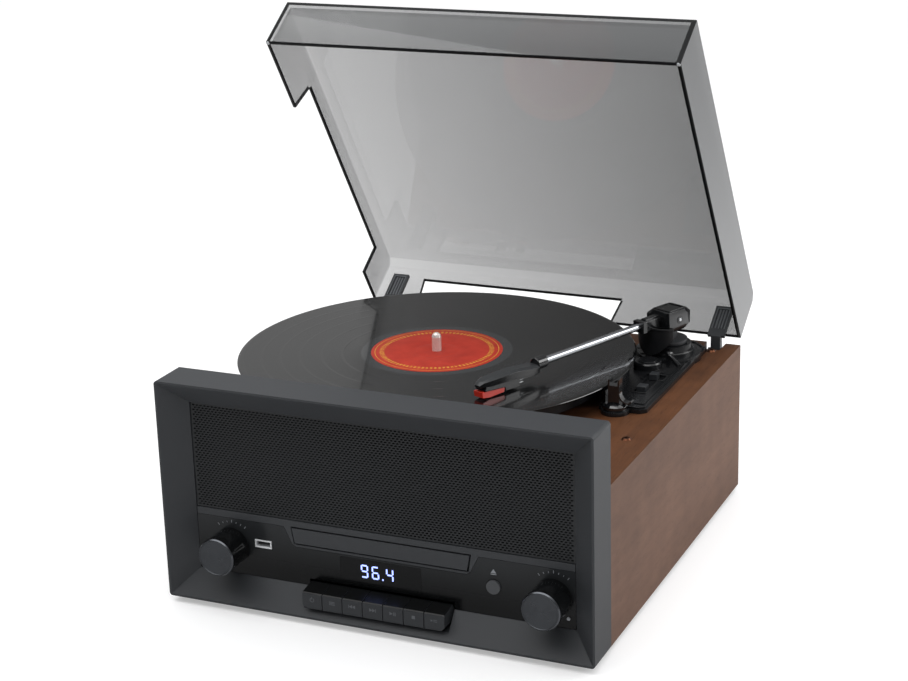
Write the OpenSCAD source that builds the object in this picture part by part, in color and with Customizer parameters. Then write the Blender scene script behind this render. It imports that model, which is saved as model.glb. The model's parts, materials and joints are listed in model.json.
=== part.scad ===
// Stereo music centre: record player, disc drive and radio in a wooden cabinet.
// Millimetres, +Z up. The origin is the centre of the cabinet's underside.

/* [Cabinet] */
// Width of the wooden cabinet
cabinet_w = 324; // [318:1:330]
// Depth from the front of the bezel to the back of the cabinet
whole_d = 339; // [336:1:350]
// Height of the deck's top face
deck_z = 118; // [116:1:122]
// Thickness of the wooden boards
board_t = 12; // [10:1:13]
// Thickness of the base board
base_t = 9; // [8:1:12]
// Thickness of the rear panel
rear_t = 5; // [4:1:6]
// Height of the feet
foot_h = 5; // [3:1:10]
// Radius of the feet
foot_r = 10; // [8:1:12]

/* [Front] */
// How far the bezel stands out at each side of the cabinet
bezel_lip = 1; // [0:0.5:4]
// Height of the bezel
bezel_h = 164; // [162:1:170]
// Depth of the bezel
bezel_d = 32; // [30:1:36]
// Width of the sloping inner face, seen from the front
slope_w = 18.5; // [17:0.5:19]
// Depth from the bezel's front to the panel
slope_d = 15; // [13:0.5:16]
// Width of the flat rim in front of the slope
rim_w = 1.6; // [1:0.2:2]
// Height where the grille starts
grille_z = 66.5; // [66:0.5:68]
// Radius of the control knobs
knob_r = 14; // [12:0.5:14.2]
// Length of the control knobs
knob_l = 24; // [18:1:28]
// From the left edge of the visible panel to the tuning knob's centre
tuning_in = 28; // [26.5:0.5:30.5]
// From the right edge of the visible panel to the volume knob's centre
volume_in = 16; // [15.5:0.5:18.5]
// Height of both knobs
knob_z = 40.5; // [39:0.5:42]
// Height of the disc tray's centre
tray_z = 55; // [54.5:0.5:55.5]
// Width of the disc tray's front
tray_w = 135.8; // [132:0.2:137]
// Pitch of the piano keys
key_pitch = 15.6; // [15:0.1:16]
// Travel of a key
key_travel = 1.4; // [0.8:0.1:1.6]
// Radius of the eject button
eject_r = 5; // [4:0.5:6]

/* [Turntable] */
// From the inside of the right side board to the spindle
spindle_in = 184; // [182:1:186]
// From the back of the cabinet to the spindle
spindle_back = 145; // [144.5:0.5:147.5]
// Radius of the spindle
spindle_r = 3.6; // [3.4:0.1:3.7]
// Radius of the record
record_r = 151; // [149:1:152]
// Radius of the record's label
label_r = 50; // [46:1:52]
// Height of the record's top face
record_z = 138.6; // [138:0.2:140]
// Radius of the platter
platter_r = 134; // [120:1:138]
// Radius of the rim that the belt runs on
belt_rim_r = 60; // [55:1:64]
// Radius of the motor pulley
pulley_r = 6; // [5:0.5:8]

/* [Arm] */
// From the inside of the right side board to the arm's pivot
pivot_in = 32; // [31:0.5:33]
// From the back of the cabinet to the arm's pivot
pivot_back = 46; // [44.5:0.5:47.5]
// Height of the arm's tilting axis
tilt_z = 151.5; // [151:0.5:152]
// Turn of the arm as shown, from straight ahead
arm_turn = 22.8; // [20:0.2:25]
// Length from the pivot to the stylus
arm_l = 193.6; // [190:0.2:196]
// Downward slope of the arm
arm_slope = 0.4; // [0.2:0.1:0.5]
// Radius of the arm tube
tube_r = 2.8; // [2.2:0.1:3.2]

/* [Lid] */
// How far each side of the lid stands in from the cabinet's
lid_side_in = 1.3; // [1:0.1:4]
// From the back of the bezel to the front of the shut lid
lid_front_in = 3; // [2:1:7]
// Height of the lid
lid_h = 44; // [43.5:0.5:48]
// Thickness of the lid's walls
lid_t = 3; // [2:0.5:3]
// Angle at which the lid stands open
lid_open = 57; // [0:1:60]
// Height of the cut-out that clears the record at the left
side_cut_h = 27.4; // [26:0.2:30]
// Height of the cut-out at the back
rear_cut_h = 25; // [24:0.5:26]

/* [Hidden] */
$fn = 64;

gap = 0.3;              // clearance between moving plastic pieces
fit = 0.05;             // radial clearance of a turning shaft
front_y = -whole_d / 2; // front of the bezel
rear_y = whole_d / 2;   // back of the cabinet
bezel_w = cabinet_w + 2 * bezel_lip;
bezel_back = front_y + bezel_d;
panel_y = front_y + slope_d;   // plane of the visible panel
lip_t = 2.5;                   // bezel lip that holds the panel from the front
flange_y = panel_y + lip_t;    // front of the panel's hidden flange
flange_t = 3;
baffle_back = flange_y + flange_t;
inner_w = cabinet_w - 2 * board_t;
rear_panel_y = rear_y - 2 - rear_t;
open_x = bezel_w / 2 - slope_w;  // half width of the visible panel
open_z0 = slope_w;
open_z1 = bezel_h - slope_w;
shell_t = 2.5;                   // wall of the bezel around its hollow
tuning_x = -open_x + tuning_in;
volume_x = open_x - volume_in;

tray_h = 11.2;
tray_end_slope = 2;
tray_gap = 0.9;
tray_top = tray_z + tray_h / 2;
tray_bottom = tray_z - tray_h / 2;
tray_l = 130;
disc_r = 60;
disc_y = panel_y + 70;           // centre of the disc when the tray is shut
tray_plate_w = 128;

keys = 7;
key_gap = 0.4;
key_z0 = 8;
key_z1 = 20.4;
key_top_z = 22.4;
key_slot_w = keys * key_pitch + 2;
tail_y = baffle_back + 9;        // back end of the keys

deck_under = deck_z - board_t;
mat_t = 2;
record_t = 1.6;
platter_top = record_z - record_t - mat_t;
spindle_x = inner_w / 2 - spindle_in;
spindle_y = rear_y - spindle_back;
belt_h = 5;
belt_t = 1;
belt_z = deck_z + 4;
pulley_x = spindle_x - 55;
pulley_y = spindle_y - 58;

pivot_x = inner_w / 2 - pivot_in;
pivot_y = rear_y - pivot_back;
plate_t = 3;
plate_z = deck_z + plate_t;
plate_right = inner_w / 2 - 8.5;
plate_left = pivot_x - 30;
plate_front = spindle_y - 28;
plate_rear = rear_y - 12.5;
wall_r = 143;          // inside of the raised wall round the record
wall_t = 2.4;
wall_z = deck_z + 13;
wall_a = [-9, 32];     // where the raised wall starts and ends, round the spindle
turret_r = 17;
turret_z = deck_z + 13;
yoke_shaft_r = 4;
tilt_pin_r = 1.5;
rest_x = pivot_x + 1.5;
rest_y = spindle_y - 30;
rest_r = 9;
rest_top = 143.9;
cue_r = 24;
cue_top = tilt_z - tube_r - 0.5;
lever_x = pivot_x + 8.5;
lever_y = pivot_y - cue_r - 2.5;
lever_z = plate_z + 9;
lever_turn = 60;      // plan direction of the lever, from straight ahead
lever_dip = 30;

hinge_y = rear_y + 0.4;
hinge_z = deck_z - 9;
hinge_x = inner_w / 2 - 7.8;
hinge_pin_r = 1.5;
knuckle_r = 3.8;
knuckle_w = 7.8;
ear_w = 2.4;
bracket_w = 14;
lid_rear_y = rear_y - 8;
lid_base_z = deck_z + 1.5;
lid_w = cabinet_w - 2 * lid_side_in;
lid_l = lid_rear_y - bezel_back - lid_front_in;
lid_bevel = 5;

speaker_x = open_x - 38.5;
speaker_h = 38;
speaker_w = 68;
speaker_z = grille_z + 1 + speaker_h / 2;

module mirrored() {
    children();
    mirror([1, 0, 0]) children();
}

// a rectangle from corner to corner with rounded corners
module round_rect(x0, z0, x1, z1, r) {
    translate([x0 + r, z0]) square([x1 - x0 - 2 * r, z1 - z0]);
    translate([x0, z0 + r]) square([x1 - x0, z1 - z0 - 2 * r]);
    for (x = [x0 + r, x1 - r], z = [z0 + r, z1 - r]) translate([x, z]) circle(r);
}

// turns a shape drawn across and up to stand as a plate between y0 and y1
module upright(y0, y1) {
    translate([0, y1, 0]) rotate([90, 0, 0]) linear_extrude(y1 - y0) children();
}

// turns a shape drawn back and up into a bar between x0 and x1
module sideways(x0, x1) {
    translate([x0, 0, 0]) rotate([90, 0, 90]) linear_extrude(x1 - x0) children();
}

module block(x0, y0, z0, x1, y1, z1) {
    translate([x0, y0, z0]) cube([x1 - x0, y1 - y0, z1 - z0]);
}

// a round bar along Y
module bar_y(x, z, r, y0, y1) {
    translate([x, y0, z]) rotate([-90, 0, 0]) cylinder(r = r, h = y1 - y0);
}

module post(x, y, z0, z1, r) {
    translate([x, y, z0]) cylinder(r = r, h = z1 - z0);
}

// ---- front ----

module bezel() {
    color("#3a3c3e") difference() {
        upright(front_y, bezel_back)
            round_rect(-bezel_w / 2, 0, bezel_w / 2, bezel_h, 2.5);
        hull() {
            block(-bezel_w / 2 + rim_w, front_y - 1, rim_w,
                  bezel_w / 2 - rim_w, front_y, bezel_h - rim_w);
            block(-open_x, panel_y - 0.1, open_z0, open_x, panel_y, open_z1);
        }
        block(-open_x, panel_y - 1, open_z0, open_x, flange_y + 1, open_z1);
        block(-bezel_w / 2 + 7, flange_y, shell_t, bezel_w / 2 - 7, bezel_back - shell_t, bezel_h - 4);
        block(-inner_w / 2, bezel_back - shell_t - 1, shell_t, inner_w / 2, bezel_back + 1, deck_under);
        block(-key_slot_w / 2, front_y - 1, key_z0 - key_travel - 0.4,
              key_slot_w / 2, flange_y + 1, open_z0 + 1);
    }
}

// everything that passes through the front panel, as flat shapes
module panel_cuts() {
    tray_outline(tray_gap);
    round_rect(-window_w / 2 - 0.1, window_z0 - 0.1, window_w / 2 + 0.1, window_z1 + 0.1, 1.5);
    translate([-key_slot_w / 2, 0]) square([key_slot_w, key_top_z + 1.4]);
    translate([eject_x, eject_z]) circle(eject_r + 0.4);
    translate([usb_x - usb_w / 2 - 0.2, usb_z - usb_h / 2 - 0.2]) square([usb_w + 0.4, usb_h + 0.4]);
    for (x = [tuning_x, volume_x]) translate([x, knob_z]) circle(shaft_r + 0.6);
    translate([light_x, light_z]) circle(light_r + 0.1);
}

window_w = 62;
window_z0 = 27;
window_z1 = 45;
eject_x = volume_x - 43.4;
eject_z = 40.5;
usb_x = tuning_x + 25;
usb_z = 44.6;
usb_w = 13.2;
usb_h = 5.9;
usb_l = 14;
usb_wall = 0.4;
shaft_r = 3;
light_x = open_x - 5.5;
light_z = 25.9;
light_r = 1.3;

// outline of the tray's front, widened by m
module tray_outline(m) {
    polygon([[-tray_w / 2 - m, tray_top + m], [tray_w / 2 + m, tray_top + m],
             [tray_w / 2 - tray_end_slope + m, tray_bottom - m],
             [-tray_w / 2 + tray_end_slope - m, tray_bottom - m]]);
}

surround_top = grille_z - 0.3;
surround_strip_z = surround_top - 5.4;
surround_bottom = 46.4;
surround_hw = 75;       // half width of the surround at the strip
surround_foot = 68.5;   // half width of the surround at its foot

// outline of the lighter strip and tray surround, shrunk by m
module surround_outline(m) {
    translate([-open_x + gap + m, surround_strip_z + m])
        square([2 * (open_x - gap - m), surround_top - surround_strip_z - 2 * m]);
    polygon([[-surround_hw + m, surround_strip_z + 1], [surround_hw - m, surround_strip_z + 1],
             [surround_foot - m, surround_bottom + 2.5], [surround_foot - 3 - m, surround_bottom + m],
             [-surround_foot + 3 + m, surround_bottom + m], [-surround_foot + m, surround_bottom + 2.5]]);
}

module front_panel() {
    color("#17191b") difference() {
        union() {
            upright(flange_y, baffle_back)
                round_rect(-bezel_w / 2 + 8, shell_t + 0.5, bezel_w / 2 - 8, bezel_h - 4.5, 2);
            upright(panel_y + 0.2, flange_y) translate([-open_x + gap, open_z0 + gap])
                square([2 * (open_x - gap), surround_top - open_z0 - gap]);
        }
        upright(panel_y - 1, baffle_back + 1) panel_cuts();
        upright(panel_y - 1, panel_y + 1.2) surround_outline(0);
        block(-key_slot_w / 2, panel_y - 1, 0, key_slot_w / 2, baffle_back + 1, open_z0 + 1);
        for (s = [-1, 1]) translate([s * speaker_x, 0, speaker_z])
            upright(flange_y - 1, baffle_back + 1) racetrack(speaker_w - 8, speaker_h - 8);
    }
}

module tray_surround() {
    color("#3b3d40") difference() {
        upright(panel_y, panel_y + 1.2) surround_outline(0.15);
        upright(panel_y - 1, panel_y + 2) tray_outline(tray_gap);
    }
}

module racetrack(w, h) {
    square([w - h, h], center = true);
    for (s = [-1, 1]) translate([s * (w - h) / 2, 0]) circle(d = h);
}

module speaker_grille() {
    color("#0c0d0e") upright(flange_y - 1.5, flange_y - 0.1)
        translate([-open_x + gap, grille_z]) square([2 * (open_x - gap), open_z1 - gap - grille_z]);
}

module display_window() {
    color("#0b0c10") upright(panel_y + 0.2, flange_y + 1)
        round_rect(-window_w / 2, window_z0, window_w / 2, window_z1, 1.4);
}

digit_w = 5.6;
digit_h = 9.8;
digit_z = 31.3;
seg = 1.1;
digit_x = [-15, -6.6, 4.4];
// segments lit in each figure: top, upper left, upper right, middle, lower left, lower right, bottom
figures = [[1, 1, 1, 1, 0, 1, 1], [1, 1, 0, 1, 1, 1, 1], [0, 1, 1, 1, 0, 1, 0]];

module figure_segments(lit) {
    half = digit_h / 2;
    long = half - seg * 1.3;
    across = digit_w - seg * 1.6;
    for (i = [0:2]) if (lit[i * 3]) translate([seg * 0.8, digit_h - seg - i * (digit_h - seg) / 2])
        square([across, seg]);
    for (i = [0:1]) if (lit[1 + i * 3]) translate([0, half + seg * 0.65 - i * half]) square([seg, long]);
    for (i = [0:1]) if (lit[2 + i * 3]) translate([digit_w - seg, half + seg * 0.65 - i * half])
        square([seg, long]);
}

module display_digits() {
    color("#b9c8ff") upright(panel_y + 0.05, panel_y + 0.2) {
        for (i = [0:2]) translate([digit_x[i], digit_z]) figure_segments(figures[i]);
        translate([1.2, digit_z]) square([seg, seg]);
    }
}

module usb_port() {
    color("#d8dadc") {
        difference() {
            block(usb_x - usb_w / 2, panel_y - 0.3, usb_z - usb_h / 2,
                  usb_x + usb_w / 2, panel_y + usb_l, usb_z + usb_h / 2);
            block(usb_x - usb_w / 2 + usb_wall, panel_y - 1, usb_z - usb_h / 2 + usb_wall,
                  usb_x + usb_w / 2 - usb_wall, panel_y + usb_l - 1, usb_z + usb_h / 2 - usb_wall);
        }
        block(usb_x - 5.6, panel_y + 1, usb_z + 0.3, usb_x + 5.6, panel_y + usb_l - 1, usb_z + 2.1);
    }
}

module power_light() {
    color("#8d9094") bar_y(light_x, light_z, light_r, panel_y - 0.4, baffle_back);
}

control_w = 14;
control_l = 8;

module control_bodies() {
    color("#8b8f94") for (x = [tuning_x, volume_x]) difference() {
        block(x - control_w / 2, baffle_back, knob_z - control_w / 2,
              x + control_w / 2, baffle_back + control_l, knob_z + control_w / 2);
        bar_y(x, knob_z, shaft_r + fit, baffle_back - 1, baffle_back + control_l - 1.5);
    }
}

// knob with its turned cap and the shaft that it turns
module knob(x) {
    back = panel_y - 1;
    front = back - knob_l;
    union() {
        translate([x, back, knob_z]) rotate([90, 0, 0]) rotate_extrude()
            polygon([[0, 2], [shaft_r + 2, 2], [shaft_r + 2, 0], [knob_r - 1.2, 0], [knob_r - 0.4, 0.8],
                     [knob_r - 0.4, knob_l - 6], [knob_r, knob_l - 5.6], [knob_r, knob_l - 0.9],
                     [knob_r - 0.9, knob_l], [0, knob_l]]);
        bar_y(x, knob_z, shaft_r, back - 3, baffle_back + control_l - 2);
    }
}

module tuning_knob() { color("#1c1d1f") knob(tuning_x); }
module volume_knob() { color("#1c1d1f") knob(volume_x); }

eject_travel = 1.2;

module eject_button() {
    color("#3a3b3d") {
        bar_y(eject_x, eject_z, eject_r, panel_y - 1.4, baffle_back + 0.5);
        bar_y(eject_x, eject_z, eject_r + 1.4, baffle_back + 0.3, baffle_back + 2);
    }
}

// one key of the row; the end keys have their lower outer corner cut off
module key(n) {
    x0 = (n - 1 - keys / 2) * key_pitch + key_gap / 2;
    x1 = x0 + key_pitch - key_gap;
    color("#2c2d2f") difference() {
        sideways(x0, x1) polygon([[front_y + 0.2, key_z0 + 0.6], [front_y + 0.8, key_z0],
            [tail_y, key_z0], [tail_y, key_z0 + 4], [baffle_back + 1, key_z0 + 4],
            [panel_y, key_top_z], [front_y + 1.2, key_z1], [front_y + 0.2, key_z1 - 1]]);
        if (n == 1) key_corner(x0, 1);
        if (n == keys) key_corner(x1, -1);
    }
}

module key_corner(x, way) {
    upright(front_y - 1, baffle_back + 10)
        polygon([[x - way, key_z0 - 1], [x + way * 3, key_z0 - 1], [x + way * 3, key_z0],
                 [x, key_z0 + 3], [x - way, key_z0 + 3]]);
}

module key_1() { key(1); }
module key_2() { key(2); }
module key_3() { key(3); }
module key_4() { key(4); }
module key_5() { key(5); }
module key_6() { key(6); }
module key_7() { key(7); }

module key_board() {
    switch_top = key_z0 - key_travel - 0.2;
    color("#1f5c3a") {
        block(-key_slot_w / 2, baffle_back + 1, shell_t + 0.3,
              key_slot_w / 2, bezel_back, shell_t + 1.9);
        block(-key_slot_w / 2, tail_y + gap, shell_t + 1, key_slot_w / 2, bezel_back, key_z0 + 5);
        for (n = [1:keys]) translate([(n - 0.5 - keys / 2) * key_pitch, baffle_back + 6, shell_t + 1.9])
            cylinder(r = 1.8, h = switch_top - shell_t - 1.9);
    }
}

module speaker_frames() {
    color("#26282a") for (s = [-1, 1]) translate([s * speaker_x, 0, speaker_z]) {
        difference() {
            upright(baffle_back, baffle_back + 10) racetrack(speaker_w, speaker_h);
            upright(baffle_back - 1, baffle_back + 8) racetrack(speaker_w - 5, speaker_h - 5);
            bar_y(0, 0, 11, baffle_back, baffle_back + 11);
        }
        bar_y(0, 0, 16, baffle_back + 10, baffle_back + 20);
    }
}

module speaker_cones() {
    color("#1d1d1d") for (s = [-1, 1]) translate([s * speaker_x, baffle_back, speaker_z]) difference() {
        hull() {
            upright(0.2, 1) racetrack(speaker_w - 6, speaker_h - 6);
            bar_y(0, 0, 8, 7, 7.7);
        }
        hull() {
            upright(-0.1, 0.1) racetrack(speaker_w - 8, speaker_h - 8);
            bar_y(0, 0, 7, 5.5, 6.5);
        }
    }
}

// ---- cabinet ----

module side_board() {
    translate([0, rear_y, 0]) rotate([90, 0, 0]) linear_extrude(rear_y - bezel_back)
        polygon([[cabinet_w / 2 - board_t, 0], [cabinet_w / 2, 0],
                 [cabinet_w / 2, deck_z], [cabinet_w / 2 - board_t, deck_under]]);
}

module cabinet_right() { color("#7d5f50") side_board(); }
module cabinet_left() { color("#7d5f50") mirror([1, 0, 0]) side_board(); }

screw_x = inner_w / 2 - 5.5;
screw_front_y = bezel_back + 84;
screw_back_y = rear_y - 21.3;
screw_r = 1.6;
notch_w = 15.4;
notch_y = lid_rear_y - lid_t - 6.4;

// notch in the back edge where a hinge swings
module hinge_notch(z0, z1) {
    block(hinge_x - notch_w / 2, notch_y, z0, hinge_x + notch_w / 2, rear_y + 1, z1);
}

module deck() {
    color("#4a3527") difference() {
        translate([0, rear_y, 0]) rotate([90, 0, 0]) linear_extrude(rear_y - bezel_back)
            polygon([[-cabinet_w / 2, deck_z], [cabinet_w / 2, deck_z],
                     [cabinet_w / 2 - board_t, deck_under], [-cabinet_w / 2 + board_t, deck_under]]);
        post(spindle_x, spindle_y, deck_under - 1, deck_z + 1, bearing_r + gap);
        post(pulley_x, pulley_y, deck_under - 1, deck_z + 1, 5);
        post(pivot_x, pivot_y, deck_under - 1, deck_z + 1, yoke_shaft_r + 2);
        mirrored() {
            hinge_notch(deck_under - 1, deck_z + 1);
            for (y = [screw_front_y, screw_back_y])
                post(screw_x, y, deck_under - 1, deck_z + 1, screw_r);
        }
    }
}

module base_panel() {
    color("#2b2622") union() {
        difference() {
            block(-inner_w / 2 + 0.1, bezel_back + 0.2, 0, inner_w / 2 - 0.1, rear_panel_y - 0.1, base_t);
            for (i = [0:4]) translate([vent_x + i * vent_pitch, vent_y, -1]) cube([vent_w, vent_l, base_t + 2]);
            for (s = [-1, 1], y = foot_y) post(s * foot_x, y, -1, foot_seat, foot_r + gap);
        }
        for (x = [board_x0 + 6, board_x0 + board_w - 6], y = [board_y0 + 6, board_y0 + board_l - 6])
            post(x, y, base_t - 1, base_t + standoff_h, 3);
    }
}

vent_x = -60;
vent_y = rear_panel_y - 62.5;
vent_w = 4;
vent_l = 30;
vent_pitch = 12;
board_x0 = -inner_w / 2 + 10;
board_y0 = baffle_back + tray_l + 9;
board_w = 120;
board_l = 90;
standoff_h = 8;

module main_board() {
    z = base_t + standoff_h;
    color("#1f5c3a") {
        block(board_x0, board_y0, z, board_x0 + board_w, board_y0 + board_l, z + 1.6);
        for (i = [0:3]) post(board_x0 + 22 + i * 24, board_y0 + 24, z + 1, z + 16, 5);
        block(board_x0 + 20, board_y0 + 56, z + 1, board_x0 + 50, board_y0 + 64, z + 22);
        block(board_x0 + 66, board_y0 + 50, z + 1, board_x0 + 86, board_y0 + 70, z + 4);
    }
}

// a box centred on x and y, standing on z
module centred(x, y, z, size) {
    translate([x - size[0] / 2, y - size[1] / 2, z]) cube(size);
}

core = [56, 42, 46];    // iron core of the transformer
coil = [36, 62, 22];    // its winding
bracket = [72, 30, 2];  // its mounting bracket

module transformer() {
    x = inner_w / 2 - 62;
    y = rear_panel_y - 81.5;
    color("#70757a") {
        centred(x, y, base_t, core);
        centred(x, y, base_t + (core[2] - coil[2]) / 2, coil);
        centred(x, y, base_t, bracket);
    }
}

socket_z = 46;
audio_x = [-inner_w / 2 + 50, -inner_w / 2 + 68];
audio_r = 4.15;
audio_l = 9;
aux_x = -inner_w / 2 + 90;
aux_r = 1.8;
aux_l = 14;
inlet_x = inner_w / 2 - 54;
inlet_w = 22;
inlet_h = 13;
aerial_x = 20;
aerial_r = 2.5;

module rear_panel() {
    color("#232120") difference() {
        block(-inner_w / 2 + 0.1, rear_panel_y, 0, inner_w / 2 - 0.1, rear_panel_y + rear_t, deck_under);
        mirrored() hinge_notch(hinge_z - 34, deck_z);
        for (x = [audio_x[0], audio_x[1], aux_x])
            bar_y(x, socket_z, 6.1, rear_panel_y - 1, rear_y);
        block(inlet_x - inlet_w / 2 - 0.1, rear_panel_y - 1, socket_z - inlet_h / 2 - 0.1,
              inlet_x + inlet_w / 2 + 0.1, rear_y, socket_z + inlet_h / 2 + 0.1);
        for (i = [0:6]) translate([i * 10 - 20, rear_panel_y - 1, 60]) cube([vent_w, rear_t + 2, 32]);
        bar_y(aerial_x, socket_z, aerial_r, rear_panel_y - 1, rear_y);
    }
}

module rear_sockets() {
    back = rear_panel_y + rear_t;
    color("#1a1a1b") {
        for (x = audio_x) difference() {
            union() {
                bar_y(x, socket_z, 6, rear_panel_y - 6, back + 0.6);
                bar_y(x, socket_z, audio_r, back, back + audio_l);
            }
            bar_y(x, socket_z, 1.7, back - 4, back + audio_l + 1);
        }
        difference() {
            bar_y(aux_x, socket_z, 6, rear_panel_y - 14, back + 0.6);
            bar_y(aux_x, socket_z, aux_r, back + 0.6 - aux_l, back + 2);
        }
        difference() {
            block(inlet_x - inlet_w / 2, rear_panel_y - 16, socket_z - inlet_h / 2,
                  inlet_x + inlet_w / 2, back + 0.6, socket_z + inlet_h / 2);
            upright(back - 12, back + 2) translate([inlet_x, socket_z]) racetrack(inlet_w - 5, 8);
        }
        for (s = [-1, 1]) bar_y(inlet_x + s * 4.3, socket_z, 1.2, rear_panel_y - 12, back - 4);
    }
}

foot_x = cabinet_w / 2 - 24;
foot_y = [bezel_back + 22, rear_y - 28];
foot_seat = 1;      // depth of the shallow seats that the feet are glued in

module feet() {
    color("#151515") mirrored() for (y = foot_y) translate([foot_x, y, -foot_h]) rotate_extrude()
        polygon([[0, 0], [foot_r - 1, 0], [foot_r, 1], [foot_r, foot_h + foot_seat], [0, foot_h + foot_seat]]);
}

// a raised round screw head with a cross slot, pointing up from z = 0
module screw_head(r, h) {
    difference() {
        cylinder(r1 = r, r2 = r * 0.7, h = h);
        for (a = [0, 90]) rotate(a) translate([-r * 0.6, -0.35, h - 0.7]) cube([r * 1.2, 0.7, 2]);
    }
}

module case_screws() {
    color("#2a2018") mirrored() {
        for (y = [screw_front_y, screw_back_y]) translate([screw_x, y, deck_z]) {
            screw_head(3.6, 1.3);
            translate([0, 0, -board_t - 4]) cylinder(r = screw_r - 0.1, h = board_t + 4.2);
        }
        for (z = [20, 60]) translate([inner_w / 2 - 8, rear_panel_y + rear_t, z]) rotate([-90, 0, 0])
            screw_head(3.4, 1.6);
    }
}

// ---- disc drive ----

chassis_z = 40;
rail_x = tray_plate_w / 2 + gap;
tray_plate_z0 = tray_bottom + 1.2;
tray_plate_z1 = tray_bottom + 7;
tray_back = baffle_back + tray_l;
hub_r = 9;
slot_hw = 17;

module disc_tray() {
    color("#303234") difference() {
        union() {
            upright(panel_y - 0.6, baffle_back) tray_outline(0);
            block(-tray_plate_w / 2, baffle_back - 1, tray_plate_z0, tray_plate_w / 2, tray_back, tray_plate_z1);
        }
        post(0, disc_y, tray_plate_z1 - 2.4, tray_plate_z1 + 1, disc_r + 1.5);
        block(-slot_hw, disc_y, tray_plate_z0 - 1, slot_hw, tray_back + 1, tray_plate_z1 + 1);
        post(0, disc_y, tray_plate_z0 - 1, tray_plate_z1 + 1, slot_hw);
    }
}

module disc_chassis() {
    back = tray_back + 3;
    floor_z1 = chassis_z + 2;
    color("#5b5e62") {
        difference() {
            block(-rail_x - 4, baffle_back + 2, chassis_z, rail_x + 4, back, floor_z1);
            post(0, disc_y, chassis_z - 1, floor_z1 + 1, 13.5);
            block(-sled_w / 2 + 3, disc_y + 12, chassis_z - 1, sled_w / 2 - 3, back - 12, floor_z1 + 1);
        }
        for (s = [-1, 1]) {
            block(s > 0 ? rail_x : -rail_x - 4, baffle_back + 2, chassis_z,
                  s > 0 ? rail_x + 4 : -rail_x, back, tray_plate_z1 + 3);
            block(s > 0 ? rail_x - 5 : -rail_x - 1, baffle_back + 2, tray_plate_z0 - 2.3,
                  s > 0 ? rail_x + 1 : -rail_x + 5, back, tray_plate_z0 - gap);
            for (y = [baffle_back + 20, back - 10])
                post(s * (rail_x - 2), y, base_t, chassis_z + 1, 4);
        }
        difference() {
            block(-15, disc_y - 15, chassis_z - 10, 15, disc_y + 15, chassis_z - 8);
            post(0, disc_y, chassis_z - 11, chassis_z - 7, hub_shaft_r + fit);
        }
        for (x = [-14, 12], y = [disc_y - 15, disc_y + 13])
            block(x, y, chassis_z - 9, x + 2, y + 2, chassis_z + 1);
    }
}

hub_shaft_r = 1.5;
sled_w = 26;
sled_travel = 24;

module disc_hub() {
    color("#c9cbce") {
        post(0, disc_y, chassis_z - 7.6, chassis_z + 1, 12);
        post(0, disc_y, chassis_z - 12, tray_plate_z0, hub_shaft_r);
        post(0, disc_y, tray_plate_z0 - 2, tray_plate_z1 - 1.5, hub_r);
        post(0, disc_y, tray_plate_z0, tray_plate_z1 + 1, 5.5);
    }
}

module laser_sled() {
    y = disc_y + hub_r + 6;
    color("#2d3036") {
        block(-sled_w / 2, y, chassis_z + 2 + gap, sled_w / 2, y + 16, chassis_z + 6.5);
        post(0, y + 6, chassis_z + 5, tray_plate_z0 + 2, 4);
    }
}

// ---- turntable ----

bearing_r = 8;
spindle_foot = deck_under - 20;
spindle_top = record_z + 14;

module spindle_bearing() {
    color("#8a8d90") difference() {
        union() {
            post(spindle_x, spindle_y, spindle_foot, deck_z + 3, bearing_r);
            post(spindle_x, spindle_y, deck_under - 3, deck_under, bearing_r + 8);
        }
        post(spindle_x, spindle_y, spindle_foot + 2, deck_z + 4, spindle_r + fit);
    }
}

module spindle() {
    color("#c08a5c") translate([spindle_x, spindle_y, 0]) rotate_extrude()
        polygon([[0, spindle_foot + 2.2], [spindle_r, spindle_foot + 2.2], [spindle_r, spindle_top - 3],
                 [spindle_r - 0.7, spindle_top - 1.2], [spindle_r - 2.2, spindle_top], [0, spindle_top]]);
}

module ring(r0, r1, z0, z1) {
    translate([spindle_x, spindle_y, z0]) difference() {
        cylinder(r = r1, h = z1 - z0);
        translate([0, 0, -1]) cylinder(r = r0, h = z1 - z0 + 2);
    }
}

module platter() {
    z0 = platter_top - 12;
    color("#1b1c1e") {
        ring(spindle_r, platter_r, platter_top - 4, platter_top);
        ring(platter_r - 3, platter_r, z0, platter_top - 3);
        ring(belt_rim_r - 3, belt_rim_r, belt_z - 0.5, platter_top - 3);
        ring(spindle_r, 12, deck_z + 4, platter_top - 3);
    }
}

module platter_mat() {
    color("#202123") ring(spindle_r + 0.1, platter_r - 2, platter_top, record_z - record_t);
}

module record() {
    color("#1d1e20") ring(spindle_r + 0.1, record_r, record_z - record_t, record_z);
}

module record_label() {
    color("#c8442e") ring(spindle_r + 0.1, label_r, record_z, record_z + 0.2);
}

module belt_path(r) {
    hull() {
        translate([spindle_x, spindle_y]) circle(belt_rim_r + r);
        translate([pulley_x, pulley_y]) circle(pulley_r + r);
    }
}

module drive_belt() {
    color("#101010") translate([0, 0, belt_z]) linear_extrude(belt_h) difference() {
        belt_path(gap + belt_t);
        belt_path(gap);
    }
}

module platter_motor() {
    color("#9a9da0") difference() {
        union() {
            post(pulley_x, pulley_y, deck_under - 26, deck_under - 1.5, 15);
            post(pulley_x, pulley_y, deck_under - 3, deck_under, 20);
        }
        post(pulley_x, pulley_y, deck_under - 24, deck_under + 1, 1 + fit);
    }
}

module motor_pulley() {
    color("#c2a25e") {
        post(pulley_x, pulley_y, belt_z - 1, belt_z + belt_h + 1, pulley_r);
        for (z = [belt_z - 1.8, belt_z + belt_h + 1]) post(pulley_x, pulley_y, z, z + 0.8, pulley_r + 0.1);
        post(pulley_x, pulley_y, deck_under - 23, belt_z, 1);
    }
}

// ---- arm ----

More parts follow.
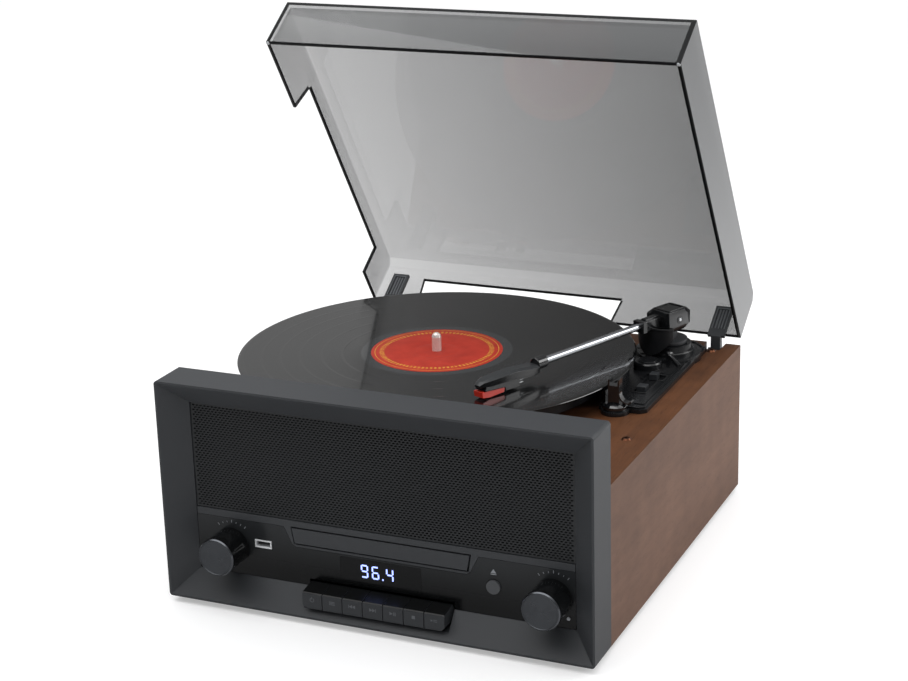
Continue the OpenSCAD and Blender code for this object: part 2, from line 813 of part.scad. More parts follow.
// places a shape drawn along -Y from the pivot where the arm points
module along_arm() {
    translate([pivot_x, pivot_y, 0]) rotate(-arm_turn) children();
}

// the same, tilted down to the record
module down_arm() {
    along_arm() translate([0, 0, tilt_z]) rotate([arm_slope, 0, 0]) children();
}

module sector(r0, r1, z0, z1, a0, a1) {
    translate([0, 0, z0]) linear_extrude(z1 - z0) intersection() {
        difference() {
            circle(r1);
            circle(r0);
        }
        polygon(concat([[0, 0]], [for (i = [0:6]) let (a = a0 + (a1 - a0) * i / 6)
                                  2 * r1 * [cos(a), sin(a)]]));
    }
}

cue_pin_r = 2;
cue_a0 = 190;
cue_a1 = 300;
cue_pin_a = 222;
slot_x = pivot_x + 7;
slot_y0 = spindle_y + 7;
slot_y1 = spindle_y + 48;

module arm_base() {
    pocket_z = plate_z - 1.4;
    color("#1c1e20") difference() {
        union() {
            translate([0, 0, deck_z]) linear_extrude(plate_t) plate_outline(0);
            translate([0, 0, deck_z]) linear_extrude(plate_t + 1.2) difference() {
                plate_outline(1.8);
                plate_outline(3.4);
            }
            translate([spindle_x, spindle_y, 0])
                sector(wall_r, wall_r + wall_t, deck_z, wall_z, wall_a[0], wall_a[1]);
            post(pivot_x, pivot_y, deck_z, deck_z + 6, turret_r + 8);
            post(pivot_x, pivot_y, deck_z, turret_z, turret_r);
            block(lever_x - 1.8, lever_y - 1.8, deck_z, lever_x + 1.8, lever_y + 1.8, lever_z - 2.9);
            post(rest_x, rest_y, deck_z, plate_z, rest_r + 1.5);
        }
        post(pivot_x, pivot_y, deck_z - 1, turret_z + 1, yoke_shaft_r + fit);
        translate([pivot_x, pivot_y, 0]) rotate(cue_pin_a) post(cue_r - 2, 0, deck_z - 1, deck_z + 7, cue_pin_r + fit);
        block(slot_x - 4.5, slot_y0, pocket_z, slot_x + 4.5, slot_y1, plate_z + 1);
        block(slot_x - 8, slot_y1 - 11, pocket_z, slot_x + 8, slot_y1, plate_z + 1);
        translate([pivot_x, pivot_y, 0]) sector(cue_r - 4.6, cue_r + 0.6, plate_z + 2.6, deck_z + 7, cue_a0 - 3, cue_a1 + 3);
        post(rest_x, rest_y, plate_z, wall_z + 1, rest_r + gap);
    }
}

// outline of the arm's base plate, drawn in by m along its outer edges
module plate_outline(m) {
    difference() {
        polygon([[pivot_x - 18, plate_front + m], [plate_right - 4 - m / 2, plate_front + m],
                 [plate_right - m, plate_front + 4 + m / 2], [plate_right - m, plate_rear - 11 - m / 2],
                 [plate_right - 11 - m / 2, plate_rear - m], [plate_left, plate_rear - m],
                 [plate_left, pivot_y - 33.5]]);
        translate([spindle_x, spindle_y]) circle(wall_r);
    }
}

module arm_rest() {
    color("#16181a") translate([rest_x, rest_y, plate_z]) difference() {
        union() {
            rotate_extrude() polygon([[0, 0], [rest_r, 0], [rest_r, 3], [rest_r - 1, 4],
                                      [rest_r - 2, 4.6], [0, 4.6]]);
            translate([-4.2, -3.5, 0]) cube([8.4, 7, rest_top - plate_z]);
        }
        translate([-tube_r - 0.2, -5, rest_top - plate_z - 4.6]) cube([2 * tube_r + 0.4, 10, 6]);
    }
}

module arm_yoke() {
    color("#2a2c2e") difference() {
        union() {
            post(pivot_x, pivot_y, deck_under - 6, turret_z + 1, yoke_shaft_r);
            post(pivot_x, pivot_y, turret_z + gap, turret_z + 3.4, turret_r - 3);
            along_arm() block(-5, -4, turret_z + 2, 5, 4, tilt_z + 3);
        }
        down_arm() rotate([0, 90, 0]) cylinder(r = tilt_pin_r + fit, h = 20, center = true);
    }
}

housing_top = 6.2;
housing_low = 9.6;

module arm_housing() {
    color("#1a1b1d") down_arm() {
        difference() {
            union() {
                upright(-12, 12) polygon([[-13, -housing_low], [11, -housing_low], [12, -housing_low + 1],
                    [12, 3.5], [8.5, housing_top], [-7, housing_top], [-13, 2]]);
                upright(11, 27) polygon([[-8, -housing_low + 1], [8, -housing_low + 1], [13, -4.5],
                    [13, 3], [9, housing_top - 0.6], [-9, housing_top - 0.6], [-13, 3], [-13, -4.5]]);
                upright(-19, -11) polygon([[-4.6, -4], [4.6, -4], [4.6, 3], [3.2, 4.6], [-3.2, 4.6], [-4.6, 3]]);
                block(-4, -8, housing_top - 1, 6, 8, housing_top + 0.7);
            }
            block(-5.5, -5.8, -housing_low - 1, 5.5, 6.6, 4.2);
            translate([0, -20, 0]) rotate([-90, 0, 0]) cylinder(r = tube_r, h = 10);
        }
        rotate([0, 90, 0]) cylinder(r = tilt_pin_r, h = 13, center = true);
    }
}

head_l = 62;
tube_end = arm_l - head_l + 10;
stylus_axis_z = tilt_z - arm_l * sin(arm_slope);   // height of the arm's axis above the stylus

module arm_tube() {
    color("#c3c6c9") down_arm() translate([0, -10.5, 0]) rotate([90, 0, 0])
        cylinder(r = tube_r, h = tube_end - 10.5);
}

module headshell() {
    color("#191a1c") down_arm() difference() {
        union() {
            translate([0, -tube_end + 9, 0]) rotate([90, 0, 0]) cylinder(r = tube_r + 1.4, h = 10);
            sideways(-6, 6) polygon([[-tube_end, -3.4], [-tube_end, 3.4], [-arm_l + 14, 3.2],
                [-arm_l - 6, 1.4], [-arm_l - 8.5, -1.2], [-arm_l - 8, -4.8], [-arm_l + 20, -6.3],
                [-arm_l + 32, -5.2]]);
        }
        translate([0, -tube_end + 10, 0]) rotate([90, 0, 0]) cylinder(r = tube_r, h = 10);
        sideways(4.2, 7) polygon([[-arm_l - 3, -3.6], [-arm_l + 30, -3.4], [-arm_l + 34, -0.4],
                                  [-arm_l + 4, -0.6]]);
    }
}

module stylus() {
    color("#e03a2a") down_arm() {
        sideways(-4.4, 4.4) polygon([[-arm_l - 8.4, -4.8], [-arm_l + 19, -6.3], [-arm_l + 18, -9.4],
                                 [-arm_l - 3, -10.2], [-arm_l - 8.6, -9]]);
        translate([0, -arm_l, record_z + 0.3 - stylus_axis_z]) cylinder(r1 = 0.2, r2 = 0.9, h = 2);
    }
}

module cue_platform() {
    color("#17181a") {
        translate([pivot_x, pivot_y, 0]) difference() {
            sector(cue_r - 4, cue_r, plate_z + 3, cue_top, cue_a0, cue_a1);
            rotate(262) block(cue_r - 6, -14, cue_top - 9, cue_r + 2, -8, cue_top + 1);
        }
        translate([pivot_x, pivot_y, 0]) rotate(cue_pin_a)
            post(cue_r - 2, 0, deck_z + 0.5, plate_z + 4, cue_pin_r);
    }
}

module cue_lever() {
    color("#26282a") translate([lever_x, lever_y, lever_z]) rotate(lever_turn) {
        rotate([0, 90, 0]) cylinder(r = 2.2, h = 5, center = true);
        rotate([lever_dip, 0, 0]) block(-1.6, -13, -1.2, 1.6, 0, 1.2);
    }
}

module slider(x, y, w, l, h) {
    block(x - w / 2, y - l / 2, plate_z - 1.2, x + w / 2, y + l / 2, plate_z + h);
}

module speed_selector() { color("#3a3d40") slider(slot_x, slot_y0 + 8, 7, 8, 3.2); }
module auto_stop_switch() { color("#26282a") slider(slot_x, slot_y1 - 5.5, 6, 7, 3.6); }

// ---- lid ----

// turns what is drawn for the shut lid to the open position
module opened() {
    translate([0, hinge_y, hinge_z]) rotate([-lid_open, 0, 0]) translate([0, -hinge_y, -hinge_z]) children();
}

// side view of the shut lid, m inside its outer faces
module lid_profile(m) {
    y1 = lid_rear_y - m;
    y0 = lid_rear_y - lid_l + m;
    z1 = lid_base_z + lid_h - m;
    z0 = lid_base_z - (m > 0 ? 1 : 0);
    polygon([[y0, z0], [y1, z0], [y1, z1 - lid_bevel], [y1 - lid_bevel, z1], [y0, z1]]);
}

cut_rear_u = 36.2;
cut_front_u = lid_l - 73;
rear_cut_x0 = -lid_w / 2 + 39.4;
rear_cut_x1 = rear_cut_x0 + 175.7;

module lid() {
    color([0.35, 0.36, 0.37, 0.45]) opened() difference() {
        sideways(-lid_w / 2, lid_w / 2) lid_profile(0);
        sideways(-lid_w / 2 + lid_t, lid_w / 2 - lid_t) lid_profile(lid_t);
        sideways(-lid_w / 2 - 1, -lid_w / 2 + lid_t + 0.1) polygon([
            [lid_rear_y - cut_rear_u, lid_base_z - 1],
            [lid_rear_y - cut_rear_u, lid_base_z + side_cut_h],
            [lid_rear_y - cut_front_u, lid_base_z + side_cut_h],
            [lid_rear_y - cut_front_u - 5, lid_base_z - 1]]);
        upright(lid_rear_y - lid_t - 0.1, lid_rear_y + 1) polygon([
            [rear_cut_x0 + 3, lid_base_z - 1], [rear_cut_x0, lid_base_z + rear_cut_h],
            [rear_cut_x1, lid_base_z + rear_cut_h], [rear_cut_x1 - 3, lid_base_z - 1]]);
    }
}

plate_face_y = lid_rear_y - lid_t;

module lid_brackets() {
    arm_y = plate_face_y - 2;
    color("#1f2123") opened() mirrored() {
        difference() {
            union() {
                block(hinge_x - bracket_w / 2, plate_face_y - 3, lid_base_z - 4,
                      hinge_x + bracket_w / 2, plate_face_y, lid_base_z + 26);
                translate([hinge_x, 0, 0]) rotate([90, 0, 90]) linear_extrude(knuckle_w, center = true)
                    polygon([[arm_y - 1, lid_base_z], [arm_y - 1, lid_base_z - 5], [hinge_y - 2, hinge_z - 3],
                             [hinge_y, hinge_z + knuckle_r], [arm_y + 3, lid_base_z - 1.5], [plate_face_y, lid_base_z]]);
                translate([hinge_x, hinge_y, hinge_z]) rotate([0, 90, 0])
                    cylinder(r = knuckle_r, h = knuckle_w, center = true);
            }
            translate([hinge_x, hinge_y, hinge_z]) rotate([0, 90, 0])
                cylinder(r = hinge_pin_r + fit, h = knuckle_w + 2, center = true);
            block(hinge_x - 4.5, plate_face_y - 4, lid_base_z + 3, hinge_x + 4.5, plate_face_y - 2, lid_base_z + 23);
        }
    }
}

module hinge_bases() {
    outer = rear_panel_y + rear_t;
    color("#1a1b1c") mirrored() difference() {
        union() {
            for (s = [-1, 1]) translate([hinge_x + s * (knuckle_w / 2 + gap + ear_w / 2), 0, 0])
                rotate([90, 0, 90]) linear_extrude(ear_w, center = true) union() {
                    translate([hinge_y, hinge_z]) circle(knuckle_r + 0.4);
                    polygon([[rear_panel_y + 1, hinge_z - 34], [outer + 2, hinge_z - 34],
                             [hinge_y + knuckle_r + 0.4, hinge_z], [hinge_y - knuckle_r - 0.4, hinge_z]]);
                }
            block(hinge_x - knuckle_w / 2 - gap - ear_w, rear_panel_y + 1, hinge_z - 34,
                  hinge_x + knuckle_w / 2 + gap + ear_w, outer + 1.8, hinge_z - 12);
        }
        translate([hinge_x, hinge_y, hinge_z]) rotate([0, 90, 0])
            cylinder(r = hinge_pin_r, h = 30, center = true);
    }
}

module hinge_pins() {
    color("#b5b8bb") mirrored() translate([hinge_x, hinge_y, hinge_z]) rotate([0, 90, 0])
        cylinder(r = hinge_pin_r, h = knuckle_w + 2 * (gap + ear_w), center = true);
}

bezel();
front_panel();
tray_surround();
speaker_grille();
display_window();
display_digits();
cabinet_left();
cabinet_right();
deck();
base_panel();
rear_panel();
feet();
case_screws();
usb_port();
power_light();
control_bodies();
key_board();
speaker_frames();
speaker_cones();
disc_chassis();
main_board();
transformer();
rear_sockets();
spindle_bearing();
platter_motor();
arm_base();
arm_rest();
hinge_bases();
hinge_pins();
platter();
platter_mat();
record();
record_label();
spindle();
drive_belt();
motor_pulley();
arm_yoke();
arm_housing();
arm_tube();
headshell();
stylus();
cue_platform();
cue_lever();
speed_selector();
auto_stop_switch();
lid();
lid_brackets();
tuning_knob();
volume_knob();
eject_button();
key_1();
key_2();
key_3();
key_4();
key_5();
key_6();
key_7();
disc_tray();
disc_hub();
laser_sled();
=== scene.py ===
import json
import math
import bmesh
import bpy
from mathutils import Matrix, Vector


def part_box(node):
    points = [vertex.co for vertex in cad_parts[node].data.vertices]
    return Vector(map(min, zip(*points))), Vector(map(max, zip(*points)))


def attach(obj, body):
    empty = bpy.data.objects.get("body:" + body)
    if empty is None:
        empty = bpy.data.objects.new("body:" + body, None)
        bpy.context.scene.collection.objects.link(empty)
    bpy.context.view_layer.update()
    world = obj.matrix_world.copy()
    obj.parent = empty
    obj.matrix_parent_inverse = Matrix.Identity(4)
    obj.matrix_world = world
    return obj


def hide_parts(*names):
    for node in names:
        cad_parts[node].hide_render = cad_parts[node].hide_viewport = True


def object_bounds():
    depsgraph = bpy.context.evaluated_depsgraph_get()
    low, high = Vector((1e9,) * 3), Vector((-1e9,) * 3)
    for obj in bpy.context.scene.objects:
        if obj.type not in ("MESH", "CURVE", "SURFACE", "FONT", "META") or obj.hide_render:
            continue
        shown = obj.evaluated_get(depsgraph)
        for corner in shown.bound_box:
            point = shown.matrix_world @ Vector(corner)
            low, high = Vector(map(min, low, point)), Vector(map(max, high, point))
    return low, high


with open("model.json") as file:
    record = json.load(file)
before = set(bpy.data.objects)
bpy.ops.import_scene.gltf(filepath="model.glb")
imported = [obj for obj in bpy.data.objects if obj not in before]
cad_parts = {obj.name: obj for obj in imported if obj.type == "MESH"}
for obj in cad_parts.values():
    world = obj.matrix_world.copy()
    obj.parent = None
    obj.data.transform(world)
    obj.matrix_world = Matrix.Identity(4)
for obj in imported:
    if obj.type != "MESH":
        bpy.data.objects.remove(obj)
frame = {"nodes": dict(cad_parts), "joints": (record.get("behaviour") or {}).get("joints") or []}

scene = bpy.context.scene
nodes = frame["nodes"]
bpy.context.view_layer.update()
mm = 0.001
print("frame loaded:", len(nodes), "nodes")

# camera, at the photograph's viewing angle
camera = {
    "place": (0.579301, -1.305193, 0.633561),
    "lens": 80.78,
    "azimuth": 24.245,
    "elevation": 18.42,
    "roll": -1.673,
}


def makeCamera(c):
    a, e, r = (math.radians(c[k]) for k in ("azimuth", "elevation", "roll"))
    back = Vector((math.sin(a) * math.cos(e), -math.cos(a) * math.cos(e), math.sin(e)))
    right = Vector((math.cos(a), math.sin(a), 0))
    up = back.cross(right)
    right, up = right * math.cos(r) + up * math.sin(r), up * math.cos(r) - right * math.sin(r)
    turn = Matrix((right, up, back)).transposed().to_4x4()
    data = bpy.data.cameras.new("photoCamera")
    data.lens = c["lens"]
    data.clip_end = 50
    obj = bpy.data.objects.new("photoCamera", data)
    obj.matrix_world = Matrix.Translation(c["place"]) @ turn
    scene.collection.objects.link(obj)
    scene.camera = obj


makeCamera(camera)


# the box of a node, in mm
def boxOf(node):
    return [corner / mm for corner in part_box(node)]


def jointNamed(name):
    return next(j for j in frame["joints"] if j["name"] == name)


# small helpers for shader nodes; feed gives a socket a plain value, or the output that is to drive it
def feed(tree, node, key, value):
    if isinstance(value, bpy.types.NodeSocket):
        tree.links.new(value, node.inputs[key])
    else:
        short = isinstance(value, tuple) and len(value) == 3
        node.inputs[key].default_value = (*value, 1) if short else value


def feedAll(tree, node, values):
    for key, value in values.items():
        feed(tree, node, key, value)


def maths(tree, operation, a, b=None):
    node = tree.nodes.new("ShaderNodeMath")
    node.operation = operation
    for i, value in enumerate((a, b)):
        if value is not None:
            feed(tree, node, i, value)
    return node.outputs[0]


def coordinate(tree, label="Object"):
    return tree.nodes.new("ShaderNodeTexCoord").outputs[label]


def split(tree, vector):
    node = tree.nodes.new("ShaderNodeSeparateXYZ")
    tree.links.new(vector, node.inputs[0])
    return node.outputs


def combined(tree, **values):
    node = tree.nodes.new("ShaderNodeCombineXYZ")
    feedAll(tree, node, values)
    return node.outputs[0]


def ramp(tree, value, fromMin, fromMax, toMin=0.0, toMax=1.0, smooth=False):
    node = tree.nodes.new("ShaderNodeMapRange")
    if smooth:
        node.interpolation_type = "SMOOTHSTEP"
    feedAll(tree, node, {
        "Value": value, "From Min": fromMin, "From Max": fromMax, "To Min": toMin, "To Max": toMax})
    return node.outputs["Result"]


# pale floor and soft studio light
studio = {
    "floorZ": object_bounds()[0][2],
    "floorSize": 30,
    "floorColour": (0.68, 0.68, 0.685),
    "floorGlow": 0.4,     # seen by the camera alone
    # brightness of the dome, and what is added along each axis between two heights
    "dome": {"base": 0.03,
             "gains": [("Z", 0.45, 0.92, 1.25), ("Y", -0.1, 0.6, 0.42), ("X", 0.2, 0.8, 0.25)]},
    # place, aim, width, height, watts
    "lights": [
        ((-0.25, -0.68, 1.65), (0, -0.15, 0.05), 2.4, 1.3, 16),
        ((0.95, 0.45, 0.62), (0.16, 0.1, 0.08), 0.5, 0.5, 3.8),
    ],
}


# soft dome: bright overhead and behind, dark on the camera's side; the camera itself sees plain white
def makeDome(d):
    world = bpy.data.worlds.new("studio")
    world.use_nodes = True
    tree = world.node_tree
    parts = split(tree, coordinate(tree, "Generated"))
    total = d["base"]
    for axis, low, high, gain in d["gains"]:
        total = maths(tree, "ADD", ramp(tree, parts[axis], low, high, 0.0, gain, True), total)
    seen = tree.nodes.new("ShaderNodeLightPath").outputs["Is Camera Ray"]
    level = ramp(tree, seen, 0.0, 1.0, total)
    feedAll(tree, tree.nodes["Background"], {"Color": (1, 1, 1), "Strength": level})
    scene.world = world


def makeStudio(s):
    half = s["floorSize"] / 2
    mesh = bpy.data.meshes.new("floor")
    corners = [(-half, -half, 0), (half, -half, 0), (half, half, 0), (-half, half, 0)]
    mesh.from_pydata(corners, [], [(0, 1, 2, 3)])
    floor = bpy.data.objects.new("floor", mesh)
    floor.location.z = s["floorZ"]
    scene.collection.objects.link(floor)
    mat = bpy.data.materials.new("paleFloor")
    mat.use_nodes = True
    tree = mat.node_tree
    seen = tree.nodes.new("ShaderNodeLightPath").outputs["Is Camera Ray"]
    glow = maths(tree, "MULTIPLY", seen, s["floorGlow"])
    feedAll(tree, tree.nodes["Principled BSDF"], {
        "Base Color": s["floorColour"], "Roughness": 0.6, "Specular IOR Level": 0.2,
        "Emission Color": (1, 1, 1), "Emission Strength": glow})
    mesh.materials.append(mat)
    makeDome(s["dome"])
    for i, (place, aim, width, height, watts) in enumerate(s["lights"]):
        data = bpy.data.lights.new("softbox%d" % i, "AREA")
        data.shape = "RECTANGLE"
        data.size = width
        data.size_y = height
        data.energy = watts
        obj = bpy.data.objects.new("softbox%d" % i, data)
        turn = (Vector(aim) - Vector(place)).to_track_quat("-Z", "Y").to_matrix().to_4x4()
        obj.matrix_world = Matrix.Translation(place) @ turn
        scene.collection.objects.link(obj)
    scene.view_settings.view_transform = "Standard"


makeStudio(studio)
print("camera and studio ready")


# node groups that several finishes share
def newGroup(name, inputs, outputs):
    group = bpy.data.node_groups.new(name, "ShaderNodeTree")
    for direction, sockets in (("INPUT", inputs), ("OUTPUT", outputs)):
        for label, value in sockets:
            kind = "NodeSocketColor" if isinstance(value, tuple) else "NodeSocketFloat"
            socket = group.interface.new_socket(label, in_out=direction, socket_type=kind)
            if direction == "INPUT":
                socket.default_value = value
    return group, group.nodes.new("NodeGroupInput"), group.nodes.new("NodeGroupOutput")


def addNode(tree, kind, **settings):
    node = tree.nodes.new(kind)
    for key, value in settings.items():
        if key in node.inputs:
            node.inputs[key].default_value = value
        else:
            setattr(node, key, value)
    return node


def mixColour(tree, factor, a, b):
    node = tree.nodes.new("ShaderNodeMix")
    node.data_type = "RGBA"
    feedAll(tree, node, {0: factor, 6: a, 7: b})
    return node.outputs[2]


def noiseAt(tree, vector, scale, detail=4.0, roughness=0.55):
    node = addNode(tree, "ShaderNodeTexNoise", Detail=detail, Roughness=roughness)
    feedAll(tree, node, {"Vector": vector, "Scale": scale})
    return node.outputs["Fac"]


# opens a noise, which stays near its middle, to a whole range
def spread(tree, value, low, high):
    return ramp(tree, value, 0.3, 0.7, low, high)


def rings(tree, spot, scale, distortion=0.0):
    node = addNode(tree, "ShaderNodeTexWave", wave_type="RINGS", rings_direction="Z", Scale=scale,
                   Distortion=distortion)
    tree.links.new(spot, node.inputs["Vector"])
    return node.outputs


# fine moulded or painted surface: cloudy shade, fine grain, faint rubbed patches
def makeSurfaceGroup():
    group, inp, out = newGroup(
        "surfaceWear",
        [("Colour", (0.5, 0.5, 0.5, 1)), ("Rubbed", (0.6, 0.6, 0.6, 1)), ("Grain", 2600.0),
         ("Roughness", 0.45), ("Spread", 0.08), ("Rub", 0.1)],
        [("Colour", (0, 0, 0, 1)), ("Roughness", 0.0), ("Height", 0.0)],
    )
    place = coordinate(group)
    cloud = noiseAt(group, place, 9.0, 3.0)
    patches = noiseAt(group, place, 55.0, 6.0, 0.65)
    fine = noiseAt(group, place, inp.outputs["Grain"], 2.0)
    rub = maths(group, "MULTIPLY", spread(group, patches, 0.0, 1.0), inp.outputs["Rub"])
    shaded = mixColour(group, rub, inp.outputs["Colour"], inp.outputs["Rubbed"])
    low = maths(group, "SUBTRACT", inp.outputs["Roughness"], inp.outputs["Spread"])
    high = maths(group, "ADD", inp.outputs["Roughness"], inp.outputs["Spread"])
    both = maths(group, "MULTIPLY", maths(group, "ADD", cloud, fine), 0.5)
    feedAll(group, out, {"Colour": shaded, "Roughness": spread(group, both, low, high), "Height": fine})
    return group


# wood: long streaks along Y with pores, a cloudy figure and a lacquer unevenness
def makeWoodGroup():
    group, inp, out = newGroup(
        "woodFigure",
        [("Dark", (0.1, 0.05, 0.03, 1)), ("Light", (0.3, 0.2, 0.1, 1)), ("Pore", (0.05, 0.03, 0.02, 1)),
         ("Stretch", 14.0), ("Scale", 16.0), ("PoreAmount", 0.6)],
        [("Colour", (0, 0, 0, 1)), ("Height", 0.0), ("Pores", 0.0)],
    )
    place = coordinate(group)
    parts = split(group, place)
    squeezed = maths(group, "DIVIDE", parts["Y"], inp.outputs["Stretch"])
    vector = combined(group, X=parts["X"], Y=squeezed, Z=parts["Z"])
    scale = inp.outputs["Scale"]
    figure = noiseAt(group, vector, scale, 3.0, 0.5)
    streaks = noiseAt(group, vector, maths(group, "MULTIPLY", scale, 11.0), 5.0, 0.65)
    upright = combined(group, X=parts["X"], Y=maths(group, "MULTIPLY", parts["Y"], 2.4),
                       Z=maths(group, "MULTIPLY", parts["Z"], 0.5))
    ripple = noiseAt(group, upright, maths(group, "MULTIPLY", scale, 1.6), 2.0, 0.4)
    shares = [maths(group, "MULTIPLY", part, share)
              for part, share in ((figure, 0.42), (streaks, 0.36), (ripple, 0.22))]
    tone = maths(group, "ADD", maths(group, "ADD", shares[0], shares[1]), shares[2])
    base = mixColour(group, spread(group, tone, 0.0, 1.0), inp.outputs["Dark"], inp.outputs["Light"])
    fine = noiseAt(group, vector, maths(group, "MULTIPLY", scale, 60.0), 2.0, 0.5)
    amount = maths(group, "MULTIPLY", ramp(group, fine, 0.6, 0.68), inp.outputs["PoreAmount"])
    height = maths(group, "SUBTRACT", streaks, maths(group, "MULTIPLY", amount, 0.6))
    feedAll(group, out, {"Colour": mixColour(group, amount, base, inp.outputs["Pore"]), "Height": height,
                         "Pores": amount})
    return group


surfaceGroup = makeSurfaceGroup()
woodGroup = makeWoodGroup()


def startMaterial(name):
    mat = bpy.data.materials.new(name)
    mat.use_nodes = True
    return mat, mat.node_tree, mat.node_tree.nodes["Principled BSDF"]


def placeGroup(tree, group, **values):
    node = tree.nodes.new("ShaderNodeGroup")
    node.node_tree = group
    feedAll(tree, node, values)
    return node


def addBump(tree, shader, height, depth):
    bump = tree.nodes.new("ShaderNodeBump")
    feedAll(tree, bump, {"Strength": 1.0, "Distance": depth, "Height": height})
    tree.links.new(bump.outputs["Normal"], shader.inputs["Normal"])


# highlights run round the piece's own Z axis
def addTangent(tree, shader, amount):
    tangent = addNode(tree, "ShaderNodeTangent", direction_type="RADIAL", axis="Z")
    feedAll(tree, shader, {"Anisotropic": amount, "Tangent": tangent.outputs[0]})


def hexColour(text):
    values = [int(text[i:i + 2], 16) / 255 for i in (1, 3, 5)]
    return tuple(v / 12.92 if v <= 0.04045 else ((v + 0.055) / 1.055) ** 2.4 for v in values)


def lighter(colour, gain):
    return tuple(c * gain for c in colour)


def surface(name, colour, roughness, rubbed=None, grain=2600.0, depth=0.00002, spreadBy=0.06, rub=0.12,
            metal=0.0, coat=0.0, specular=0.5, emit=None):
    mat, tree, shader = startMaterial(name)
    base = hexColour(colour)
    worn = hexColour(rubbed) if rubbed else lighter(base, 1.5)
    wear = placeGroup(tree, surfaceGroup, Colour=base, Rubbed=worn, Grain=grain, Roughness=roughness,
                      Spread=spreadBy, Rub=rub)
    feedAll(tree, shader, {
        "Base Color": wear.outputs["Colour"], "Roughness": wear.outputs["Roughness"], "Metallic": metal,
        "Coat Weight": coat, "Coat Roughness": 0.08, "Specular IOR Level": specular})
    if depth:
        addBump(tree, shader, wear.outputs["Height"], depth)
    if emit:
        feedAll(tree, shader, {"Emission Color": hexColour(emit[0]), "Emission Strength": emit[1]})
    return mat


def wood(name, dark, light, pore, stretch, scale, roughness, depth, pores):
    mat, tree, shader = startMaterial(name)
    grain = placeGroup(tree, woodGroup, Dark=hexColour(dark), Light=hexColour(light), Pore=hexColour(pore),
                       Stretch=stretch, Scale=scale, PoreAmount=pores)
    rough = spread(tree, grain.outputs["Pores"], roughness, roughness + 0.15)
    feedAll(tree, shader, {
        "Base Color": grain.outputs["Colour"], "Roughness": rough, "Specular IOR Level": 0.25})
    addBump(tree, shader, grain.outputs["Height"], depth)
    return mat


# metal turned on a lathe: the highlight is a cone round the piece's own Z axis
def turnedMetal(name, colour, roughness):
    mat, tree, shader = startMaterial(name)
    spot = coordinate(tree)
    lines = rings(tree, spot, 700.0, 0.4)["Fac"]
    base = hexColour(colour)
    feedAll(tree, shader, {
        "Base Color": mixColour(tree, lines, lighter(base, 0.8), lighter(base, 1.15)), "Metallic": 1.0,
        "Roughness": spread(tree, noiseAt(tree, spot, 300.0), roughness - 0.04, roughness + 0.06)})
    addTangent(tree, shader, 0.75)
    addBump(tree, shader, lines, 0.000004)
    return mat


# clear plastic that tints what is behind it, more so at a grazing angle; the tint is painted lighter on its
# left and deeper on its right, a painted reflection
def tinted(name, colour, cover, paintedReflectionSlope):
    mat, tree, shader = startMaterial(name)
    grazing = maths(tree, "POWER", tree.nodes.new("ShaderNodeLayerWeight").outputs["Facing"], 3.0)
    # painted reflection: less cover towards the left, more towards the right
    across = ramp(tree, split(tree, coordinate(tree))["X"], -0.16, 0.16, cover - paintedReflectionSlope, cover + paintedReflectionSlope)
    feedAll(tree, shader, {
        "Base Color": hexColour(colour), "Roughness": 0.06, "Coat Weight": 1.0, "Coat IOR": 1.6,
        "Alpha": maths(tree, "ADD", maths(tree, "MULTIPLY", grazing, 1.1), across)})
    return mat


# pressed vinyl: rings of fine grooves about the piece's own Z axis
def vinyl(name, colour, roughness, streak, depth):
    mat, tree, shader = startMaterial(name)
    spot = coordinate(tree)
    broad = noiseAt(tree, rings(tree, spot, 160.0)["Color"], 3.0, 2.0)
    feedAll(tree, shader, {
        "Base Color": hexColour(colour), "Coat Weight": 0.35, "Coat Roughness": 0.04,
        "Roughness": spread(tree, broad, roughness - 0.02, roughness + 0.05)})
    addTangent(tree, shader, streak)
    if depth:
        addBump(tree, shader, rings(tree, spot, 900.0)["Fac"], depth)
    return mat


# glossy panel with a painted reflection: its colour is painted lighter towards its top
def paintedReflectionGloss(name, dark, light, low, high, roughness):
    mat, tree, shader = startMaterial(name)
    spot = coordinate(tree)
    # painted reflection: the colour runs from dark at the bottom to lighter at the top
    height = ramp(tree, split(tree, spot)["Z"], low * mm, high * mm, smooth=True)
    feedAll(tree, shader, {
        "Base Color": mixColour(tree, height, hexColour(dark), hexColour(light)), "Specular IOR Level": 0.2,
        "Roughness": spread(tree, noiseAt(tree, spot, 30.0), roughness - 0.03, roughness + 0.04)})
    addBump(tree, shader, noiseAt(tree, spot, 2600.0, 2.0), 0.000003)
    return mat


# key: one plastic whose top is painted darker than its front, painted shade chosen by which way each face
# looks
def keyPlastic(name, front, top, roughness):
    mat, tree, shader = startMaterial(name)
    # painted shade: faces that look upwards take the darker top colour
    paintedShadeOnTop = ramp(tree, split(tree, coordinate(tree, "Normal"))["Z"], 0.45, 0.75)
    fine = noiseAt(tree, coordinate(tree), 1400.0, 3.0)
    base = hexColour(front)
    face = mixColour(tree, spread(tree, fine, 0.0, 1.0), base, lighter(base, 1.25))
    feedAll(tree, shader, {
        "Base Color": mixColour(tree, paintedShadeOnTop, face, hexColour(top)), "Specular IOR Level": 0.3,
        "Roughness": spread(tree, fine, roughness - 0.05, roughness + 0.05)})
    addBump(tree, shader, fine, 0.000005)
    return mat


# paper label: red, with a ring of small dashes that says nothing; lengths in mm
labelLook = {
    "red": "#bf3a29",
    "deepRed": "#a92e20",
    "ring": "#d8a03c",
    "inner": 40.0,
    "outer": 43.6,
    "thin": 46.8,       # the thin line round the edge
    "thinWidth": 0.5,
    "dashes": 84,
    "dashShare": 0.55,
}


